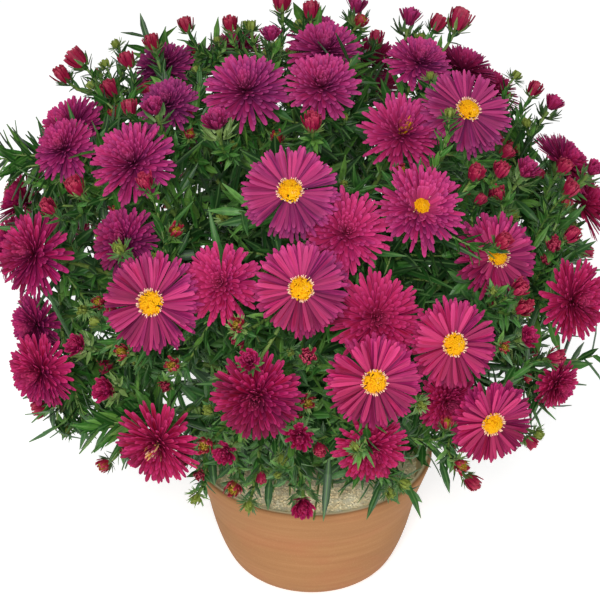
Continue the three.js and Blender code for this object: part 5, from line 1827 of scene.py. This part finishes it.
class AsterLeafSettings(bpy.types.PropertyGroup):
    """How dense the leaves are."""

    spacing: FloatProperty(name="Spacing", description="Along a stalk, in millimetres", default=2.4)
    length: FloatProperty(name="Length", description="Of a full leaf, in millimetres", default=21.0)
    low_shoots: IntProperty(name="Low Shoots", description="Shoots over the rim from each stem", default=16)
    shoots: IntProperty(name="Shoots", description="Shoots off the stalks of each stem", default=33)
    seed: IntProperty(name="Seed", description="Which way the leaves fall", default=300)


class AsterBudSettings(bpy.types.PropertyGroup):
    """How many small buds stand among the blooms."""

    count: IntProperty(name="Count", description="Small buds", default=140)
    tries: IntProperty(name="Tries", description="Places that are looked at", default=6000)
    seed: IntProperty(name="Seed", description="Where the buds stand", default=9)


class AsterStageSettings(bpy.types.PropertyGroup):
    """Camera and sky."""

    pitch: FloatProperty(name="Pitch", description="Degrees above the horizon", default=30.0)
    distance: FloatProperty(name="Distance", description="From camera to aim", default=1.0, unit="LENGTH")
    lens: FloatProperty(name="Lens", description="In millimetres", default=115.8, subtype="NONE")
    sky: FloatProperty(name="Sky", description="Strength of the even light", default=0.42)


class Shared:
    """What the plant's pieces are made from, read from the solids once."""

    kit = None
    blooms = None
    stems = None
    crowd = None

    @classmethod
    def ready(cls):
        if cls.kit is None:
            cls.kit = Kit()
            cls.blooms, cls.stems = read_plant()
            cls.crowd = Crowd(cls.blooms)
        return cls


class ASTER_OT_add_pot(bpy.types.Operator):
    """Add the terracotta bowl"""

    bl_idname = "aster.add_pot"
    bl_label = "Add Bowl"

    def execute(self, context):
        add_pot(Shared.ready().kit, context.scene.aster_pot)
        return {"FINISHED"}


class ASTER_OT_add_soil(bpy.types.Operator):
    """Add the sandy soil"""

    bl_idname = "aster.add_soil"
    bl_label = "Add Soil"

    def execute(self, context):
        add_soil(Shared.ready().kit, context.scene.aster_soil)
        return {"FINISHED"}


class ASTER_OT_add_stems(bpy.types.Operator):
    """Add the stalks, leaves and buds"""

    bl_idname = "aster.add_stems"
    bl_label = "Add Leafy Stems"

    def execute(self, context):
        shared = Shared.ready()
        scene = context.scene
        add_stems(shared.kit, shared.stems, shared.crowd, scene.aster_leaves, scene.aster_buds)
        return {"FINISHED"}


class ASTER_OT_add_blooms(bpy.types.Operator):
    """Add the petals of every bloom"""

    bl_idname = "aster.add_blooms"
    bl_label = "Add Blooms"

    def execute(self, context):
        shared = Shared.ready()
        add_blooms(shared.kit, shared.blooms, context.scene.aster_blooms)
        return {"FINISHED"}


class ASTER_OT_add_discs(bpy.types.Operator):
    """Add the yellow hearts of the open blooms"""

    bl_idname = "aster.add_discs"
    bl_label = "Add Hearts"

    def execute(self, context):
        shared = Shared.ready()
        add_discs(shared.kit, shared.blooms, context.scene.aster_blooms)
        return {"FINISHED"}


class ASTER_OT_set_stage(bpy.types.Operator):
    """Set the floor, the light and the camera, and put the shared shapes away"""

    bl_idname = "aster.set_stage"
    bl_label = "Set Stage"

    def execute(self, context):
        add_stage(context.scene.aster_stage)
        if Shared.kit:
            Shared.kit.clear()
            Shared.kit = None
        return {"FINISHED"}


OPERATORS = (
    ASTER_OT_add_pot,
    ASTER_OT_add_soil,
    ASTER_OT_add_stems,
    ASTER_OT_add_blooms,
    ASTER_OT_add_discs,
    ASTER_OT_set_stage,
)


class ASTER_PT_sidebar(bpy.types.Panel):
    """Lists the steps that build the plant"""

    bl_idname = "ASTER_PT_sidebar"
    bl_label = "Potted Aster"
    bl_space_type = "VIEW_3D"
    bl_region_type = "UI"
    bl_category = "Aster"

    def draw(self, context):
        for operator in OPERATORS:
            self.layout.operator(operator.bl_idname)
        for name, _ in SETTINGS:
            box = self.layout.box()
            group = getattr(context.scene, name)
            for key in group.__annotations__:
                box.prop(group, key)


SETTINGS = (
    ("aster_pot", AsterPotSettings),
    ("aster_soil", AsterSoilSettings),
    ("aster_blooms", AsterBloomSettings),
    ("aster_leaves", AsterLeafSettings),
    ("aster_buds", AsterBudSettings),
    ("aster_stage", AsterStageSettings),
)


def register():
    for name, group in SETTINGS:
        bpy.utils.register_class(group)
        setattr(bpy.types.Scene, name, PointerProperty(type=group))
    for one in OPERATORS + (ASTER_PT_sidebar,):
        bpy.utils.register_class(one)


def unregister():
    for one in reversed(OPERATORS + (ASTER_PT_sidebar,)):
        bpy.utils.unregister_class(one)
    for name, group in reversed(SETTINGS):
        delattr(bpy.types.Scene, name)
        bpy.utils.unregister_class(group)


def main():
    register()
    bpy.ops.aster.add_pot()
    bpy.ops.aster.add_soil()
    bpy.ops.aster.add_stems()
    bpy.ops.aster.add_blooms()
    bpy.ops.aster.add_discs()
    bpy.ops.aster.set_stage()


if __name__ == "__main__":
    main()
